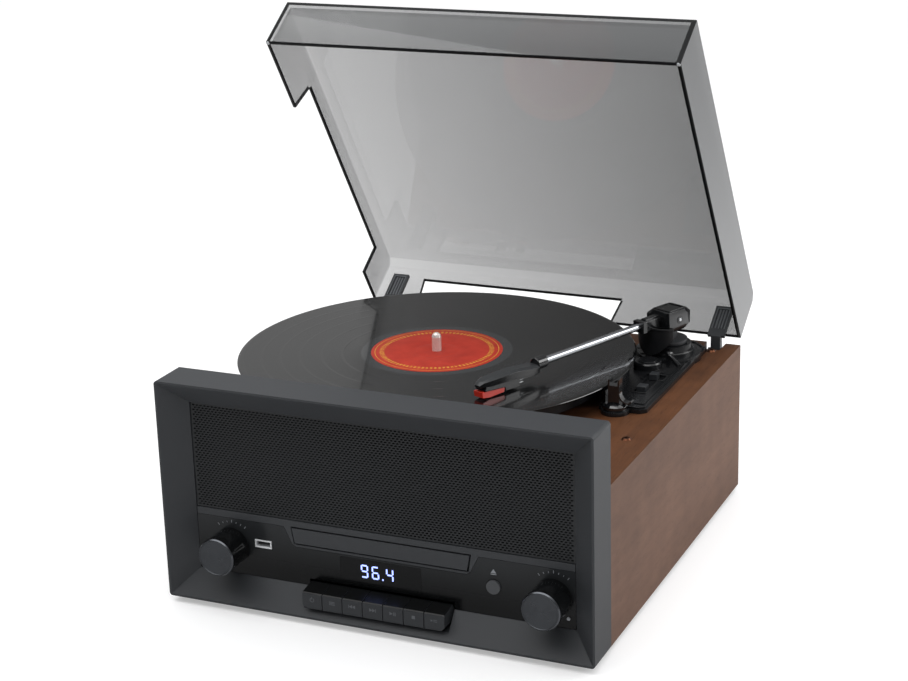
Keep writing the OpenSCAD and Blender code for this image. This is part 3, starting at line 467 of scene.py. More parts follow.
def printedLabel(name, look):
    mat, tree, shader = startMaterial(name)
    spot = coordinate(tree)
    parts = split(tree, spot)
    angle = maths(tree, "ARCTAN2", parts["Y"], parts["X"])
    length = addNode(tree, "ShaderNodeVectorMath", operation="LENGTH")
    tree.links.new(spot, length.inputs[0])
    radius = maths(tree, "DIVIDE", length.outputs["Value"], mm)

    def band(low, high):
        return maths(tree, "MULTIPLY", maths(tree, "GREATER_THAN", radius, low),
                     maths(tree, "LESS_THAN", radius, high))

    polar = combined(tree, X=maths(tree, "MULTIPLY", angle, 44.0), Y=maths(tree, "MULTIPLY", radius, 0.9))
    beat = maths(tree, "FRACT", maths(tree, "MULTIPLY", angle, look["dashes"] / (2 * math.pi)))
    dashes = maths(tree, "MULTIPLY", maths(tree, "LESS_THAN", beat, look["dashShare"]),
                   maths(tree, "GREATER_THAN", noiseAt(tree, polar, 1.0, 1.0), 0.42))
    broken = maths(tree, "MULTIPLY", band(look["inner"], look["outer"]), dashes)
    line = band(look["thin"], look["thin"] + look["thinWidth"])
    marks = maths(tree, "MAXIMUM", maths(tree, "MULTIPLY", broken, 0.9), line)
    cloud = spread(tree, noiseAt(tree, spot, 60.0), 0.0, 1.0)
    paper = mixColour(tree, cloud, hexColour(look["red"]), hexColour(look["deepRed"]))
    feedAll(tree, shader, {
        "Base Color": mixColour(tree, marks, paper, hexColour(look["ring"])), "Roughness": 0.5,
        "Specular IOR Level": 0.2})
    addBump(tree, shader, noiseAt(tree, spot, 2200.0, 2.0), 0.00001)
    return mat


# every finish, by the name used for the pieces below
finish = {
    "bezel": surface("bezelPaint", "#393b3e", 0.45, rubbed="#414346", specular=0.3),
    # the panel's lighter colour is a painted reflection towards its top
    "panel": paintedReflectionGloss("panelPaintedReflection", "#0a0b0c", "#2e3032", 24.0, 66.0, 0.2),
    "surround": surface("surroundPaint", "#3b3d40", 0.42, rubbed="#45474a", specular=0.3),
    "grille": surface("grilleMesh", "#242628", 0.45, rubbed="#2e3032", specular=0.35),
    "cloth": surface("grilleBacking", "#020203", 0.95, grain=1800.0, specular=0.05),
    "window": surface("windowGloss", "#08090b", 0.16, depth=0.0, rub=0.02, specular=0.2),
    "digits": surface("litSegments", "#c9d6ff", 0.4, depth=0.0, emit=("#8fa2ff", 1.7)),
    "woodSide": wood("walnutSide", "#5a4134", "#7d5e4d", "#4d382d", 5.0, 12.0, 0.55, 0.000005, 0.25),
    "woodTop": wood("walnutTop", "#432817", "#73492d", "#321c0e", 12.0, 14.0, 0.5, 0.000005, 0.4),
    "board": surface("plainBoard", "#2b2622", 0.8, grain=900.0, depth=0.00006),
    "rear": surface("rearPlastic", "#222122", 0.6, depth=0.00004),
    "rubber": surface("footRubber", "#141414", 0.75, depth=0.00003),
    "copper": surface("copperScrew", "#3c241a", 0.34, rubbed="#8a5638", metal=0.9, depth=0.000005, rub=0.5),
    "steel": surface("platedSteel", "#c9cbcd", 0.22, metal=1.0, depth=0.000005),
    "grey": surface("greyMetal", "#6b6e72", 0.45, metal=0.8, depth=0.00001),
    "greenBoard": surface("circuitBoard", "#1b5a36", 0.5, depth=0.00001),
    "blackPlastic": surface("blackPlastic", "#191a1c", 0.38, rubbed="#232527", depth=0.000015),
    "darkGloss": surface("darkGloss", "#131416", 0.2, depth=0.000006, coat=0.4),
    "darkGrey": surface("darkGreyPlastic", "#2b2d30", 0.4, rubbed="#36383b", depth=0.000015),
    "headGrey": surface("headGrey", "#2b2d2f", 0.36, rubbed="#46484a", depth=0.00001, specular=0.4),
    "baseGloss": surface("baseGloss", "#17181a", 0.26, rubbed="#1f2022", depth=0.000008),
    "red": surface("stylusRed", "#d8301f", 0.25, rubbed="#e0452f", depth=0.000004, coat=0.4, rub=0.3),
    "tube": surface("armTube", "#b9bcc0", 0.24, metal=1.0, depth=0.000004, spreadBy=0.05),
    "brass": surface("turnedBrass", "#b9965a", 0.3, metal=1.0, depth=0.00001),
    "spindle": surface("spindleMetal", "#f4efea", 0.28, rubbed="#e0c4ae", metal=0.35, depth=0.0, rub=0.3),
    # the keys' darker second colour is painted shade on their tops
    "keyFront": keyPlastic("keyPlastic", "#303235", "#0a0b0c", 0.36),
    "eject": surface("ejectPlastic", "#45474a", 0.42, rubbed="#505255"),
    "clearDot": surface("clearBumper", "#c4c8cb", 0.25, depth=0.0, coat=0.5),
    "mark": surface("printedMark", "#8d9196", 0.5, depth=0.0),
    "lens": surface("greyLens", "#8b8f94", 0.2, depth=0.0, coat=0.5),
    "knobSleeve": surface("knobSleeve", "#0c0d0e", 0.2, depth=0.000004, coat=0.4, rub=0.05),
    "knobEdge": surface("knobEdge", "#54565a", 0.25, metal=1.0, depth=0.0, rub=0.1),
    "knobFace": turnedMetal("knobFace", "#45474a", 0.3),
    "portBright": surface("portBright", "#e4e6e8", 0.3, depth=0.0, metal=0.25),
    "keyMark": surface("keyMark", "#5c5f63", 0.5, depth=0.0),
    "restGloss": surface("restGloss", "#121315", 0.12, depth=0.0, coat=1.0, rub=0.03),
    "bracketRib": surface("bracketRib", "#7b7f83", 0.4, depth=0.000008),
    "socketWhite": surface("socketWhite", "#d6d6d2", 0.4, depth=0.0),
    "socketRed": surface("socketRed", "#b02a22", 0.4, depth=0.0),
    "bracket": surface("bracket", "#45484b", 0.42),
    # the lid's last number sets how much painted reflection runs across it
    "lidClear": tinted("lidClear", "#2c3033", 0.41, 0.13),
    # opaque dark paint for the lid's cut edges, painted shade
    "lidPaintedEdgeShade": surface("lidPaintedEdgeShade", "#0b0d0f", 0.35, depth=0.0, rub=0.0, specular=0.15),
    # one black vinyl in three colours: the smooth bands and rim are painted darker, painted shade, and the
    # dead wax is painted lighter grey, a painted sheen
    "vinylGrooves": vinyl("vinylGrooves", "#0c0d0e", 0.17, 1.0, 0.0000025),
    "vinylSmoothPaintedShade": vinyl("vinylSmoothPaintedShade", "#060607", 0.1, 0.2, 0.0),
    "vinylWaxPaintedSheen": vinyl("vinylWaxPaintedSheen", "#2a2c2e", 0.16, 0.3, 0.0),
    "label": printedLabel("paperLabel", labelLook),
}
print("finishes ready:", len(finish))

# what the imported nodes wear, by finish
wearers = {
    "baseGloss": "arm_base",
    "bezel": "bezel",
    "blackPlastic": "speaker_frames rear_sockets platter cue_platform tuning_knob volume_knob laser_sled",
    "board": "base_panel",
    "bracket": "lid_brackets",
    "brass": "motor_pulley",
    "cloth": "speaker_cones",
    "copper": "case_screws",
    "darkGloss": "record arm_housing cue_lever",
    "darkGrey": "hinge_bases arm_yoke speed_selector auto_stop_switch lid",
    "digits": "display_digits",
    "eject": "eject_button",
    "greenBoard": "key_board main_board",
    "grey": "control_bodies disc_chassis transformer spindle_bearing platter_motor",
    "grille": "speaker_grille",
    "headGrey": "headshell",
    "lens": "power_light",
    "panel": "front_panel",
    "rear": "rear_panel",
    "red": "record_label stylus",
    "restGloss": "arm_rest",
    "rubber": "feet platter_mat drive_belt",
    "spindle": "spindle",
    "steel": "usb_port hinge_pins disc_hub",
    "surround": "tray_surround disc_tray",
    "tube": "arm_tube",
    "window": "display_window",
    "woodSide": "cabinet_left cabinet_right",
    "woodTop": "deck",
    "keyFront": " ".join("key_%d" % i for i in range(1, 8)),
}
for kind, names in wearers.items():
    for name in names.split():
        obj = nodes[name]
        obj.data.materials.clear()
        obj.data.materials.append(finish[kind])
print("CAD nodes dressed")


def roundEdges(obj, width, segments=2, angle=35):
    bevel = obj.modifiers.new("softEdge", "BEVEL")
    bevel.width = width * mm
    bevel.segments = segments
    bevel.limit_method = "ANGLE"
    bevel.angle_limit = math.radians(angle)
    bevel.harden_normals = True


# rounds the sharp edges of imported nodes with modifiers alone
def soften(names, width, segments=2):
    for name in names:
        weld = nodes[name].modifiers.new("weld", "WELD")
        weld.merge_threshold = 0.00001
        roundEdges(nodes[name], width, segments)


# hangs a finished mesh on its body; what it stands for is hidden
def place(name, mesh, kinds, body, at=None, replaced=(), slot=None, smooth=30):
    for kind in kinds:
        mesh.materials.append(finish[kind])
    mesh.shade_smooth()
    mesh.set_sharp_from_angle(angle=math.radians(smooth))
    obj = bpy.data.objects.new(name, mesh)
    if at is not None:
        obj.matrix_world = at
    scene.collection.objects.link(obj)
    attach(obj, body)
    if replaced:
        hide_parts(*replaced)
    return obj


def fromLists(name, verts, faces, indices=None):
    mesh = bpy.data.meshes.new(name)
    mesh.from_pydata(verts, [], faces)
    if indices:
        mesh.polygons.foreach_set("material_index", indices)
    mesh.update()
    return mesh


# turns the faces of closed solids outwards, after merging points where a distance is given
def facedOutwards(mesh, merge=None):
    work = bmesh.new()
    work.from_mesh(mesh)
    if merge:
        bmesh.ops.remove_doubles(work, verts=work.verts, dist=merge)
    bmesh.ops.recalc_face_normals(work, faces=work.faces)
    work.to_mesh(mesh)
    work.free()
    return mesh


# solid turned about its own Z axis: the profile is a list of (radius, height, material index) in mm
def turned(name, profile, segments=96):
    verts, faces, indices = [], [], []
    for radius, height, _ in profile:
        for k in range(segments):
            a = 2 * math.pi * k / segments
            verts.append((radius * math.cos(a) * mm, radius * math.sin(a) * mm, height * mm))
    for j in range(len(profile) - 1):
        for k in range(segments):
            n, first = (k + 1) % segments, j * segments
            faces.append((first + k, first + n, first + segments + n, first + segments + k))
            indices.append(profile[j][2])
    return facedOutwards(fromLists(name, verts, faces, indices), 0.000001)


# puts a turned mesh at a point in mm with its Z axis along a direction
def standing(point, axis=(0, 0, 1)):
    turn = Vector((0, 0, 1)).rotation_difference(Vector(axis)).to_matrix().to_4x4()
    return Matrix.Translation(Vector(point) * mm) @ turn


# lid: clear tinted walls; their cut edges and a band round the front wall are painted dark, painted shade
lidLook = {
    "wall": 3.0,        # thickness of the walls
    "edgeRound": 0.45,
    "opened": 57.0,     # angle that the lid stands open
    # painted shade: width of the dark line painted round the front wall
    "paintedShadeBand": 3.4,    # width of the dark line round the front wall
    "rimRound": 0.8,
    "dot": 1.45,        # radius of the clear bumpers on the front corners
    "dotInset": 0.1,
    # faces so narrow that they count as cut edges are painted dark, painted shade
    "narrow": 1.15,     # a face under so many walls in width counts as a cut edge
}


def makeLid(look):
    mesh = nodes["lid"].data.copy()
    mesh.materials.clear()
    work = bmesh.new()
    work.from_mesh(mesh)
    bmesh.ops.remove_doubles(work, verts=work.verts, dist=0.00001)
    bmesh.ops.dissolve_limit(work, angle_limit=math.radians(1), verts=work.verts, edges=work.edges)
    for face in work.faces:
        width = 2 * face.calc_area() / face.calc_perimeter()
        face.material_index = 1 if width < look["wall"] * look["narrow"] * mm else 0
    # the front wall is painted dark along its corners, painted shade
    opened = math.radians(look["opened"])
    along = Vector((0, -math.cos(opened), math.sin(opened)))
    out = Vector((0, math.sin(opened), math.cos(opened)))
    front = max(v.co.dot(along) for v in work.verts)
    top = max(v.co.dot(out) for v in work.verts)
    xs = [v.co.x for v in work.verts]
    inset = look["paintedShadeBand"] * mm

    def inFront(face):
        return face.normal.dot(along) > 0.99 and face.calc_center_median().dot(along) > front - mm

    cuts = [(out, top - inset), (Vector((1, 0, 0)), min(xs) + inset), (Vector((1, 0, 0)), max(xs) - inset)]
    for normal, at in cuts:
        wall = [f for f in work.faces if inFront(f)]
        parts = set(wall)
        for f in wall:
            parts.update(f.edges)
            parts.update(f.verts)
        bmesh.ops.bisect_plane(work, geom=list(parts), plane_co=normal * at, plane_no=normal, dist=0.000001)
    for face in work.faces:
        middle = face.calc_center_median()
        outside = middle.x < min(xs) + inset or middle.x > max(xs) - inset
        if inFront(face) and (outside or middle.dot(out) > top - inset):
            face.material_index = 1
    rim = min(v.co.dot(out) for v in work.verts if v.co.dot(along) > front - mm)
    edges = [e for e in work.edges if len(e.link_faces) == 2 and e.calc_face_angle() > 1.0
             and sum(f.material_index for f in e.link_faces) == 1]
    bmesh.ops.bevel(work, geom=edges, offset=look["rimRound"] * mm, segments=3, profile=0.5,
                    affect="EDGES", material=1)
    work.to_mesh(mesh)
    work.free()
    lid = place("lidShell", mesh, ["lidClear", "lidPaintedEdgeShade"], "lid", replaced=["lid"], slot="lid_acrylic")
    roundEdges(lid, look["edgeRound"], angle=38)
    r = look["dot"]
    away = r + look["dotInset"]
    profile = [(0.01, 0.28, 0), (r * 0.6, 0.24, 0), (r * 0.9, 0.12, 0), (r, 0, 0), (r, -0.5, 0)]
    for i, x in enumerate((min(xs) / mm + away, max(xs) / mm - away)):
        spot = Vector((x, 0, 0)) + along * (front / mm - away) + out * (rim / mm)
        place("lidDot%d" % (i + 1), turned("lidDot", profile, 24), ["clearDot"], "lid",
              standing(spot, -out), slot="lid_acrylic")


makeLid(lidLook)
print("lid ready")

# speaker grille: perforated sheet with a dark cloth behind it
grilleLook = {
    "pitchX": 3.0,
    "pitchZ": 1.75,
    "holeX": 2.15,
    "holeZ": 1.12,
    "sheet": 0.7,       # thickness
    "cloth": 0.3,
    "border": 0.9,
}


def makeGrille(look):
    low, high = boxOf("speaker_grille")
    border = look["border"]
    columns = int((high.x - low.x - 2 * border) / look["pitchX"])
    rows = int((high.z - low.z - 2 * border) / look["pitchZ"])
    stepX = (high.x - low.x - 2 * border) / columns
    stepZ = (high.z - low.z - 2 * border) / rows
    front, inner, back = low.y, low.y + look["sheet"], high.y
    verts, faces = [], []
    halfX, halfZ = look["holeX"] / 2, look["holeZ"] / 2
    stretch = 1 / math.cos(math.pi / 8)
    ring = [(halfX * stretch * math.cos(a), halfZ * stretch * math.sin(a))
            for a in (math.pi / 8 + k * math.pi / 4 for k in range(8))]

    def addQuad(*points):
        faces.append(tuple(range(len(verts), len(verts) + 4)))
        verts.extend(points)

    # every other row is moved by half a pitch, with a plain strip at each end
    for j in range(rows):
        shift = (j % 2) / 2
        z0, z1 = low.z + border + j * stepZ, low.z + border + (j + 1) * stepZ
        for i in range(columns - j % 2):
            x0 = low.x + border + (i + shift) * stepX
            x1 = x0 + stepX
            x, z = x0 + stepX / 2, (z0 + z1) / 2
            a = len(verts)
            verts.extend(((x1, front, z1), (x0, front, z1), (x0, front, z0), (x1, front, z0)))
            first = len(verts)
            for depth in (front, inner):
                verts.extend((x + u, depth, z + v) for u, v in ring)
            for k in range(4):
                start, end = first + 2 * k, first + 2 * k + 1
                after = first + (2 * k + 2) % 8
                faces.append((a + k, end, start))
                faces.append((a + k, a + (k + 1) % 4, after, end))
            for k in range(8):
                n = (k + 1) % 8
                faces.append((first + k, first + n, first + 8 + n, first + 8 + k))
        if j % 2:
            for x0 in (low.x + border, high.x - border - stepX / 2):
                x1 = x0 + stepX / 2
                addQuad((x0, front, z0), (x1, front, z0), (x1, front, z1), (x0, front, z1))
    # border strips and the cloth
    x0, x1, z0, z1 = low.x, high.x, low.z, high.z
    u0, u1, w0, w1 = x0 + border, x1 - border, z0 + border, z1 - border
    for quad in (((x0, z0), (x1, z0), (u1, w0), (u0, w0)), ((x1, z0), (x1, z1), (u1, w1), (u1, w0)),
                 ((x1, z1), (x0, z1), (u0, w1), (u1, w1)), ((x0, z1), (x0, z0), (u0, w0), (u0, w1))):
        addQuad(*((x, front, z) for x, z in quad))
    indices = [0] * len(faces)
    for depth in (back - look["cloth"], back):
        addQuad((x0, depth, z0), (x1, depth, z0), (x1, depth, z1), (x0, depth, z1))
        indices.append(1)
    mesh = fromLists("grilleSheet", [tuple(c * mm for c in v) for v in verts], faces, indices)
    place("grilleSheet", mesh, ["grille", "cloth"], "cabinet", replaced=["speaker_grille"],
          slot="grille_metal", smooth=20)


makeGrille(grilleLook)
print("grille ready")

# record and label, turned about the spindle
recordLook = {
    "radius": 151.0,
    "labelRadius": 50.0,
    "deadWax": 57.5,
    "bead": 146.5,
    "gaps": (72.0, 87.5, 104.0, 118.5, 133.0),   # radii of the smooth bands between the tracks
    "gapHalf": 0.8,
    "grooveDip": 0.04,
    "holeRadius": 3.65,
    "pressRing": 16.0,      # the groove that the press leaves in the label
}


def makeRecord(look):
    low, high = boxOf("record")
    centre = (low + high) / 2
    thick = high.z - low.z
    dip, hole = look["grooveDip"], look["holeRadius"]
    edges = [look["deadWax"]]
    for r in look["gaps"]:
        edges += [r - look["gapHalf"], r + look["gapHalf"]]
    edges.append(look["bead"])
    # the dead wax band wears the painted sheen, the smooth bands the painted shade
    top = [(hole, -0.1, 1), (look["labelRadius"] - 0.6, -0.1, 1), (look["labelRadius"], 0, 2)]
    for start, end in zip(edges[::2], edges[1::2]):
        top += [(start, 0, 0), (start + 0.25, -dip, 0), (end - 0.25, -dip, 1), (end, 0, 1)]
    r = look["radius"]
    top += [(r - 3.2, 0, 1), (r - 2.2, 0, 1), (r - 0.9, -0.12, 1), (r - 0.25, -0.45, 1), (r, -0.8, 1)]
    under = [(r - 0.25, 0.45 - thick, 1), (r - 0.9, 0.12 - thick, 1), (r - 2.2, -thick, 1),
             (hole, -thick, 1), (hole, -0.1, 1)]
    mesh = turned("vinylRecord", top + under, 256)
    spot = standing((centre.x, centre.y, high.z))
    place("vinylRecord", mesh, ["vinylGrooves", "vinylSmoothPaintedShade", "vinylWaxPaintedSheen"], "platter", spot, ["record"],
          "vinyl", 5)
    low, high = boxOf("record_label")
    rim, press = look["labelRadius"], look["pressRing"]
    profile = [(hole + 0.1, -0.05, 0), (hole + 0.25, 0, 0), (press, 0, 0), (press + 0.3, -0.05, 0),
               (press + 1, -0.05, 0), (press + 1.3, 0, 0), (rim - 0.4, 0, 0), (rim, -0.12, 0),
               (rim, -0.2, 0), (hole + 0.1, -0.2, 0), (hole + 0.1, -0.05, 0)]
    spot = standing((centre.x, centre.y, high.z))
    place("paperLabel", turned("paperLabel", profile, 128), ["label"], "platter", spot,
          ["record_label"], "label_print", 25)


makeRecord(recordLook)
print("record ready")


def frontOf(node):
    return boxOf(node)[0].y


# knobs: black sleeve, a turned metal cap with a bright chamfer and fine rings on its face
knobLook = {
    "shaft": 3.0,       # radii of the shaft, the sleeve and the cap
    "sleeve": 13.6,
    "cap": 14.0,
    "capDepth": 5.6,
    "chamfer": 0.9,
    "rings": 9,
    "ringDip": 0.06,
    "clearance": 0.8,   # between sleeve and panel
}


def makeKnob(node, look):
    low, high = boxOf(node)
    centre = (low + high) / 2
    back = frontOf("front_panel") - look["clearance"]
    length = back - low.y
    r, cap = look["sleeve"], look["cap"]
    face = cap - look["chamfer"]
    seam = length - look["capDepth"]
    shaft = look["shaft"]
    profile = [(shaft, -6.0, 0), (shaft, 2.0, 0), (r - 1.2, 0.6, 0), (r - 1.2, 0, 0), (r - 0.5, 0, 0),
               (r, 0.7, 0), (r, seam - 0.5, 0), (r - 0.4, seam - 0.35, 0), (r - 0.4, seam, 0),
               (cap, seam + 0.15, 0), (cap, length - look["chamfer"], 1), (face + 0.15, length - 0.06, 1),
               (face, length, 2), (face - 0.35, length, 2), (face - 0.6, length - 0.35, 2)]
    step = (face - 1.4) / look["rings"]
    for i in range(look["rings"]):
        u = face - 0.8 - i * step
        profile += [(u, length - 0.35, 2), (u - step * 0.5, length - 0.35 - look["ringDip"], 2)]
    profile += [(0.01, length - 0.38, 2)]
    spot = standing((centre.x, back, centre.z), (0, -1, 0))
    place(node + "Turned", turned(node, profile, 128), ["knobSleeve", "knobEdge", "knobFace"], node, spot,
          [node], "knob_plastic", 25)


for node in ("tuning_knob", "volume_knob"):
    makeKnob(node, knobLook)


# closed solid through outlines with the same number of points, each at its place along an axis
def lofted(axis, stations, kind=0, sideKinds=None):
    order = {"X": (0, 1, 2), "Y": (1, 0, 2), "Z": (1, 2, 0)}[axis]
    verts = [tuple((w, u, v)[i] for i in order) for w, outline in stations for u, v in outline]
    n = len(stations[0][1])
    faces = [tuple(range(n)), tuple(range(len(verts) - 1, len(verts) - n - 1, -1))]
    kinds = [kind, kind]
    for j in range(len(stations) - 1):
        for k in range(n):
            m = (k + 1) % n
            faces.append((j * n + k, j * n + m, (j + 1) * n + m, (j + 1) * n + k))
            kinds.append(sideKinds[k] if sideKinds else kind)
    return verts, faces, kinds


def prism(axis, low, high, outline, kind=0):
    return lofted(axis, [(low, outline), (high, outline)], kind)


def circle(radius, steps=24, x=0.0, y=0.0):
    angles = [2 * math.pi * k / steps for k in range(steps)]
    return [(x + radius * math.cos(a), y + radius * math.sin(a)) for a in angles]


def rectangle(x0, y0, x1, y1):
    return [(x0, y0), (x1, y0), (x1, y1), (x0, y1)]


# one mesh from several closed solids given in mm
def joined(name, solids):
    verts, faces, kinds = [], [], []
    for points, sides, indices in solids:
        first = len(verts)
        verts.extend(tuple(c * mm for c in p) for p in points)
        faces.extend(tuple(first + i for i in side) for side in sides)
        kinds.extend(indices)
    return facedOutwards(fromLists(name, verts, faces, kinds))


# the pick-up arm's own axes: Y runs back along the arm from its pivot, X to its right
def armAxes(slope):
    lift = jointNamed("arm_lift")
    side = -Vector(lift["axis"]).normalized()
    level = Vector((0, 0, 1)).cross(side)
    back = level * math.cos(slope) + Vector((0, 0, 1)) * math.sin(slope)
    turn = Matrix((side, back, side.cross(back))).transposed().to_4x4()
    return Matrix.Translation(lift["pos_m"]) @ turn


armPlace = armAxes(math.radians(0.4))

# headshell: crowned top plate, cartridge with its tags below, and the red stylus
headLook = {
    # place along the arm, half width, height of the side edge, of the crown and of the underside
    "plate": [
        (-147.5, 5.0, -1.6, 0.2, -5.6),
        (-151.0, 6.2, -0.9, 0.9, -5.8),
        (-172.0, 6.6, 2.0, 3.2, -3.2),
        (-197.0, 6.0, 1.8, 3.0, -2.6),
        (-203.0, 4.0, 0.9, 1.7, -2.6),
        (-206.0, 2.4, -1.0, -0.6, -2.6),
    ],
    "crown": 0.62,      # share of the width that is flat
    "collar": [(-137.8, 4.2), (-138.3, 4.7), (-147.6, 4.7), (-148.2, 4.2)],     # place and radius
    # half width and side view of each block under the plate, with its material index
    "blocks": [
        (5.0, [(-168.5, -3.0), (-201.5, -2.4), (-203.0, -5.0), (-183.0, -7.0), (-182.5, -9.9),
               (-168.5, -10.3)], 1),
        (4.6, [(-147.5, -2.9), (-172.0, -3.0), (-172.0, -6.2), (-150.0, -6.4)], 1),
        (5.9, [(-151.5, -2.4), (-173.0, -2.8), (-173.0, -3.6), (-151.5, -3.2)], 0),
    ],
    "tags": [(-3.6, -5.6), (-3.6, -7.7), (4.4, -5.6), (4.4, -7.7)],
    "tagSpan": (-169.0, -164.6),
    "stylusHalf": 4.4,
    "stylus": [(-205.3, -5.4), (-182.4, -7.2), (-183.8, -10.4), (-198.0, -10.8), (-204.8, -9.7)],
    "tip": (-193.6, -11.2),
}


def makeHead(look):
    stations = []
    for y, w, edge, crown, under in look["plate"]:
        u = w * look["crown"]
        outline = [(-w, edge), (-u, crown), (u, crown), (w, edge), (w - 0.3, under), (0.3 - w, under)]
        stations.append((y, outline))
    solids = [lofted("Y", stations, 1, [0, 0, 0, 1, 1, 1]),
              lofted("Y", [(y, circle(r)) for y, r in look["collar"]], 1)]
    solids += [prism("X", -half, half, outline, kind) for half, outline, kind in look["blocks"]]
    solids += [prism("Y", *look["tagSpan"], circle(0.5, 12, x, z), 2) for x, z in look["tags"]]
    head = place("headShell", joined("headShell", solids), ["headGrey", "darkGloss", "steel"], "tonearm",
                 armPlace, ["headshell"], "head_plastic", 25)
    roundEdges(head, 0.3)
    y, z = look["tip"]
    solids = [prism("X", -look["stylusHalf"], look["stylusHalf"], look["stylus"]),
              lofted("Z", [(z, circle(0.15, 12, 0, y)), (z + 0.9, circle(0.7, 12, 0, y))])]
    stylus = place("stylusWedge", joined("stylusWedge", solids), ["red"], "tonearm", armPlace, ["stylus"],
                   "stylus_plastic", 25)
    roundEdges(stylus, 0.4)


makeHead(headLook)

# pivot housing: faceted block with a framed top, the holder of the tube and a side screw
waist = [(-12, -12.5), (-7.5, -14.3), (8.5, -14.3), (11.5, -12.8), (11.5, 5.7), (9.5, 13.8), (-9, 13.8),
         (-12, 5.7)]
housingLook = {
    "levels": [
        (-9.4, [(-10, -11), (-6, -12.7), (8, -12.7), (10, -11.5), (10, 4), (8, 11), (-8, 11), (-10, 4)]),
        (-6.0, waist),
        (3.5, waist),
        (7.3, [(-8, -8.5), (-6, -11.5), (8.5, -13.6), (11, -12.4), (11, 5.5), (8.5, 9.5), (-6, 9.5),
               (-8, 5)]),
    ],
    "frame": (-6.2, -10.6, 9.4, 7.4),
    "frameWidth": 1.1,
    "frameSpan": (7.0, 8.0),
    # blocks that hold the tube: from and to along the arm, then the section
    "holder": [(-32, -13.5, (-4.2, -4.2, 4.2, 3.5)), (-35.5, -31, (-5.4, -4.8, 5.4, 4.2)),
               (-30, -14, (-2.2, 3.2, 2.6, 4.9))],
    "screw": (11.5, -0.9, -0.3),
}


def makeHousing(look):
    x0, y0, x1, y1 = look["frame"]
    w = look["frameWidth"]
    solids = [lofted("Z", look["levels"])]
    for r in ((x0, y0, x1, y0 + w), (x0, y1 - w, x1, y1), (x0, y0 + w, x0 + w, y1 - w),
              (x1 - w, y0 + w, x1, y1 - w)):
        solids.append(prism("Z", *look["frameSpan"], rectangle(*r)))
    solids += [prism("Y", near, far, rectangle(*r)) for near, far, r in look["holder"]]
    x, y, z = look["screw"]
    solids += [prism("X", x - 0.5, x + 0.35, circle(3.1, 24, y, z)),
               prism("X", x, x + 0.9, circle(1.5, 16, y, z), 1)]
    housing = place("pivotHousing", joined("pivotHousing", solids), ["darkGloss", "steel"], "tonearm",
                    armPlace, ["arm_housing"], "housing_plastic", 25)
    roundEdges(housing, 0.45)


makeHousing(housingLook)

# cue platform: a curved scoop under the tube, deepest in its middle, with a flange along its top
cueLook = {
    "inner": 20.2,      # radii about the arm's post
    "outer": 23.8,
    "start": 194,       # angles of the two ends
    "end": 296,
    "low": 125.0,       # height of the underside in the middle and at the ends
    "ends": 139.5,
    "flange": 1.4,
    "steps": 30,
}


def makeCue(look):
    low, high = boxOf("cue_platform")
    post = jointNamed("arm_lift")["pos_m"]
    px, py = post[0] / mm, post[1] / mm
    start, sweep, steps = look["start"], look["end"] - look["start"], look["steps"]
    dip = look["ends"] - look["low"]
    solids = []
    for inner, outer, flange in ((look["inner"], look["outer"], 0),
                                 (look["inner"] - 0.6, look["outer"] + 1.0, look["flange"])):
        verts = []
        for k in range(steps + 1):
            t = 2 * k / steps - 1
            a = math.radians(start + sweep * k / steps)
            bottom = high.z - flange if flange else look["low"] + dip * abs(t) ** 1.7
            section = ((inner, bottom), (outer, bottom), (outer, high.z), (inner, high.z))
            verts += [(px + r * math.cos(a), py + r * math.sin(a), z) for r, z in section]
        faces = [(3, 2, 1, 0), tuple(len(verts) - 4 + i for i in range(4))]
        faces += [(4 * j + k, 4 * j + (k + 1) % 4, 4 * j + 4 + (k + 1) % 4, 4 * j + 4 + k)
                  for j in range(steps) for k in range(4)]
        solids.append((verts, faces, [0] * len(faces)))
    middle = math.radians(start + sweep / 2)
    r = (look["inner"] + look["outer"]) / 2
    stem = circle(1.6, 20, px + r * math.cos(middle), py + r * math.sin(middle))
    solids.append(prism("Z", low.z, look["low"] + 2, stem))
    cue = place("cueScoop", joined("cueScoop", solids), ["blackPlastic"], "cue_platform", None,
                ["cue_platform"], "cue_plastic", 30)
    roundEdges(cue, 0.3)


makeCue(cueLook)
print("arm ready")

# flat marks on a face that looks to the front: outlines in mm about a point, raised a hair
def relief(name, outlines, kind, body, origin, raised, slot):
    origin = Vector(origin)
    verts, faces = [], []
    for outline in outlines:
        n, first = len(outline), len(verts)
        for lift in (raised, -0.2):
            verts.extend((origin + Vector((u, -lift, v))) * mm for u, v in outline)
        faces.append(tuple(range(first, first + n)))
        faces.append(tuple(range(first + 2 * n - 1, first + n - 1, -1)))
        for k in range(n):
            m = (k + 1) % n
            faces.append((first + k, first + n + k, first + n + m, first + m))
    place(name, fromLists(name, verts, faces), [kind], body, slot=slot, smooth=20)


def triangle(x, z, w, h):
    points = [(x, z - h / 2), (x + w, z), (x, z + h / 2)]
    return points if w > 0 else [points[0], points[2], points[1]]


def bar(x, z, w, h):
    return rectangle(x, z - h / 2, x + w, z + h / 2)


def ringOutline(x, z, r, start, end, thick, steps=12):
    angles = [math.radians(start + (end - start) * i / steps) for i in range(steps + 1)]
    big, small = r + thick / 2, r - thick / 2
    outer = [(x + big * math.cos(a), z + big * math.sin(a)) for a in angles]
    return outer + [(x + small * math.cos(a), z + small * math.sin(a)) for a in reversed(angles)]


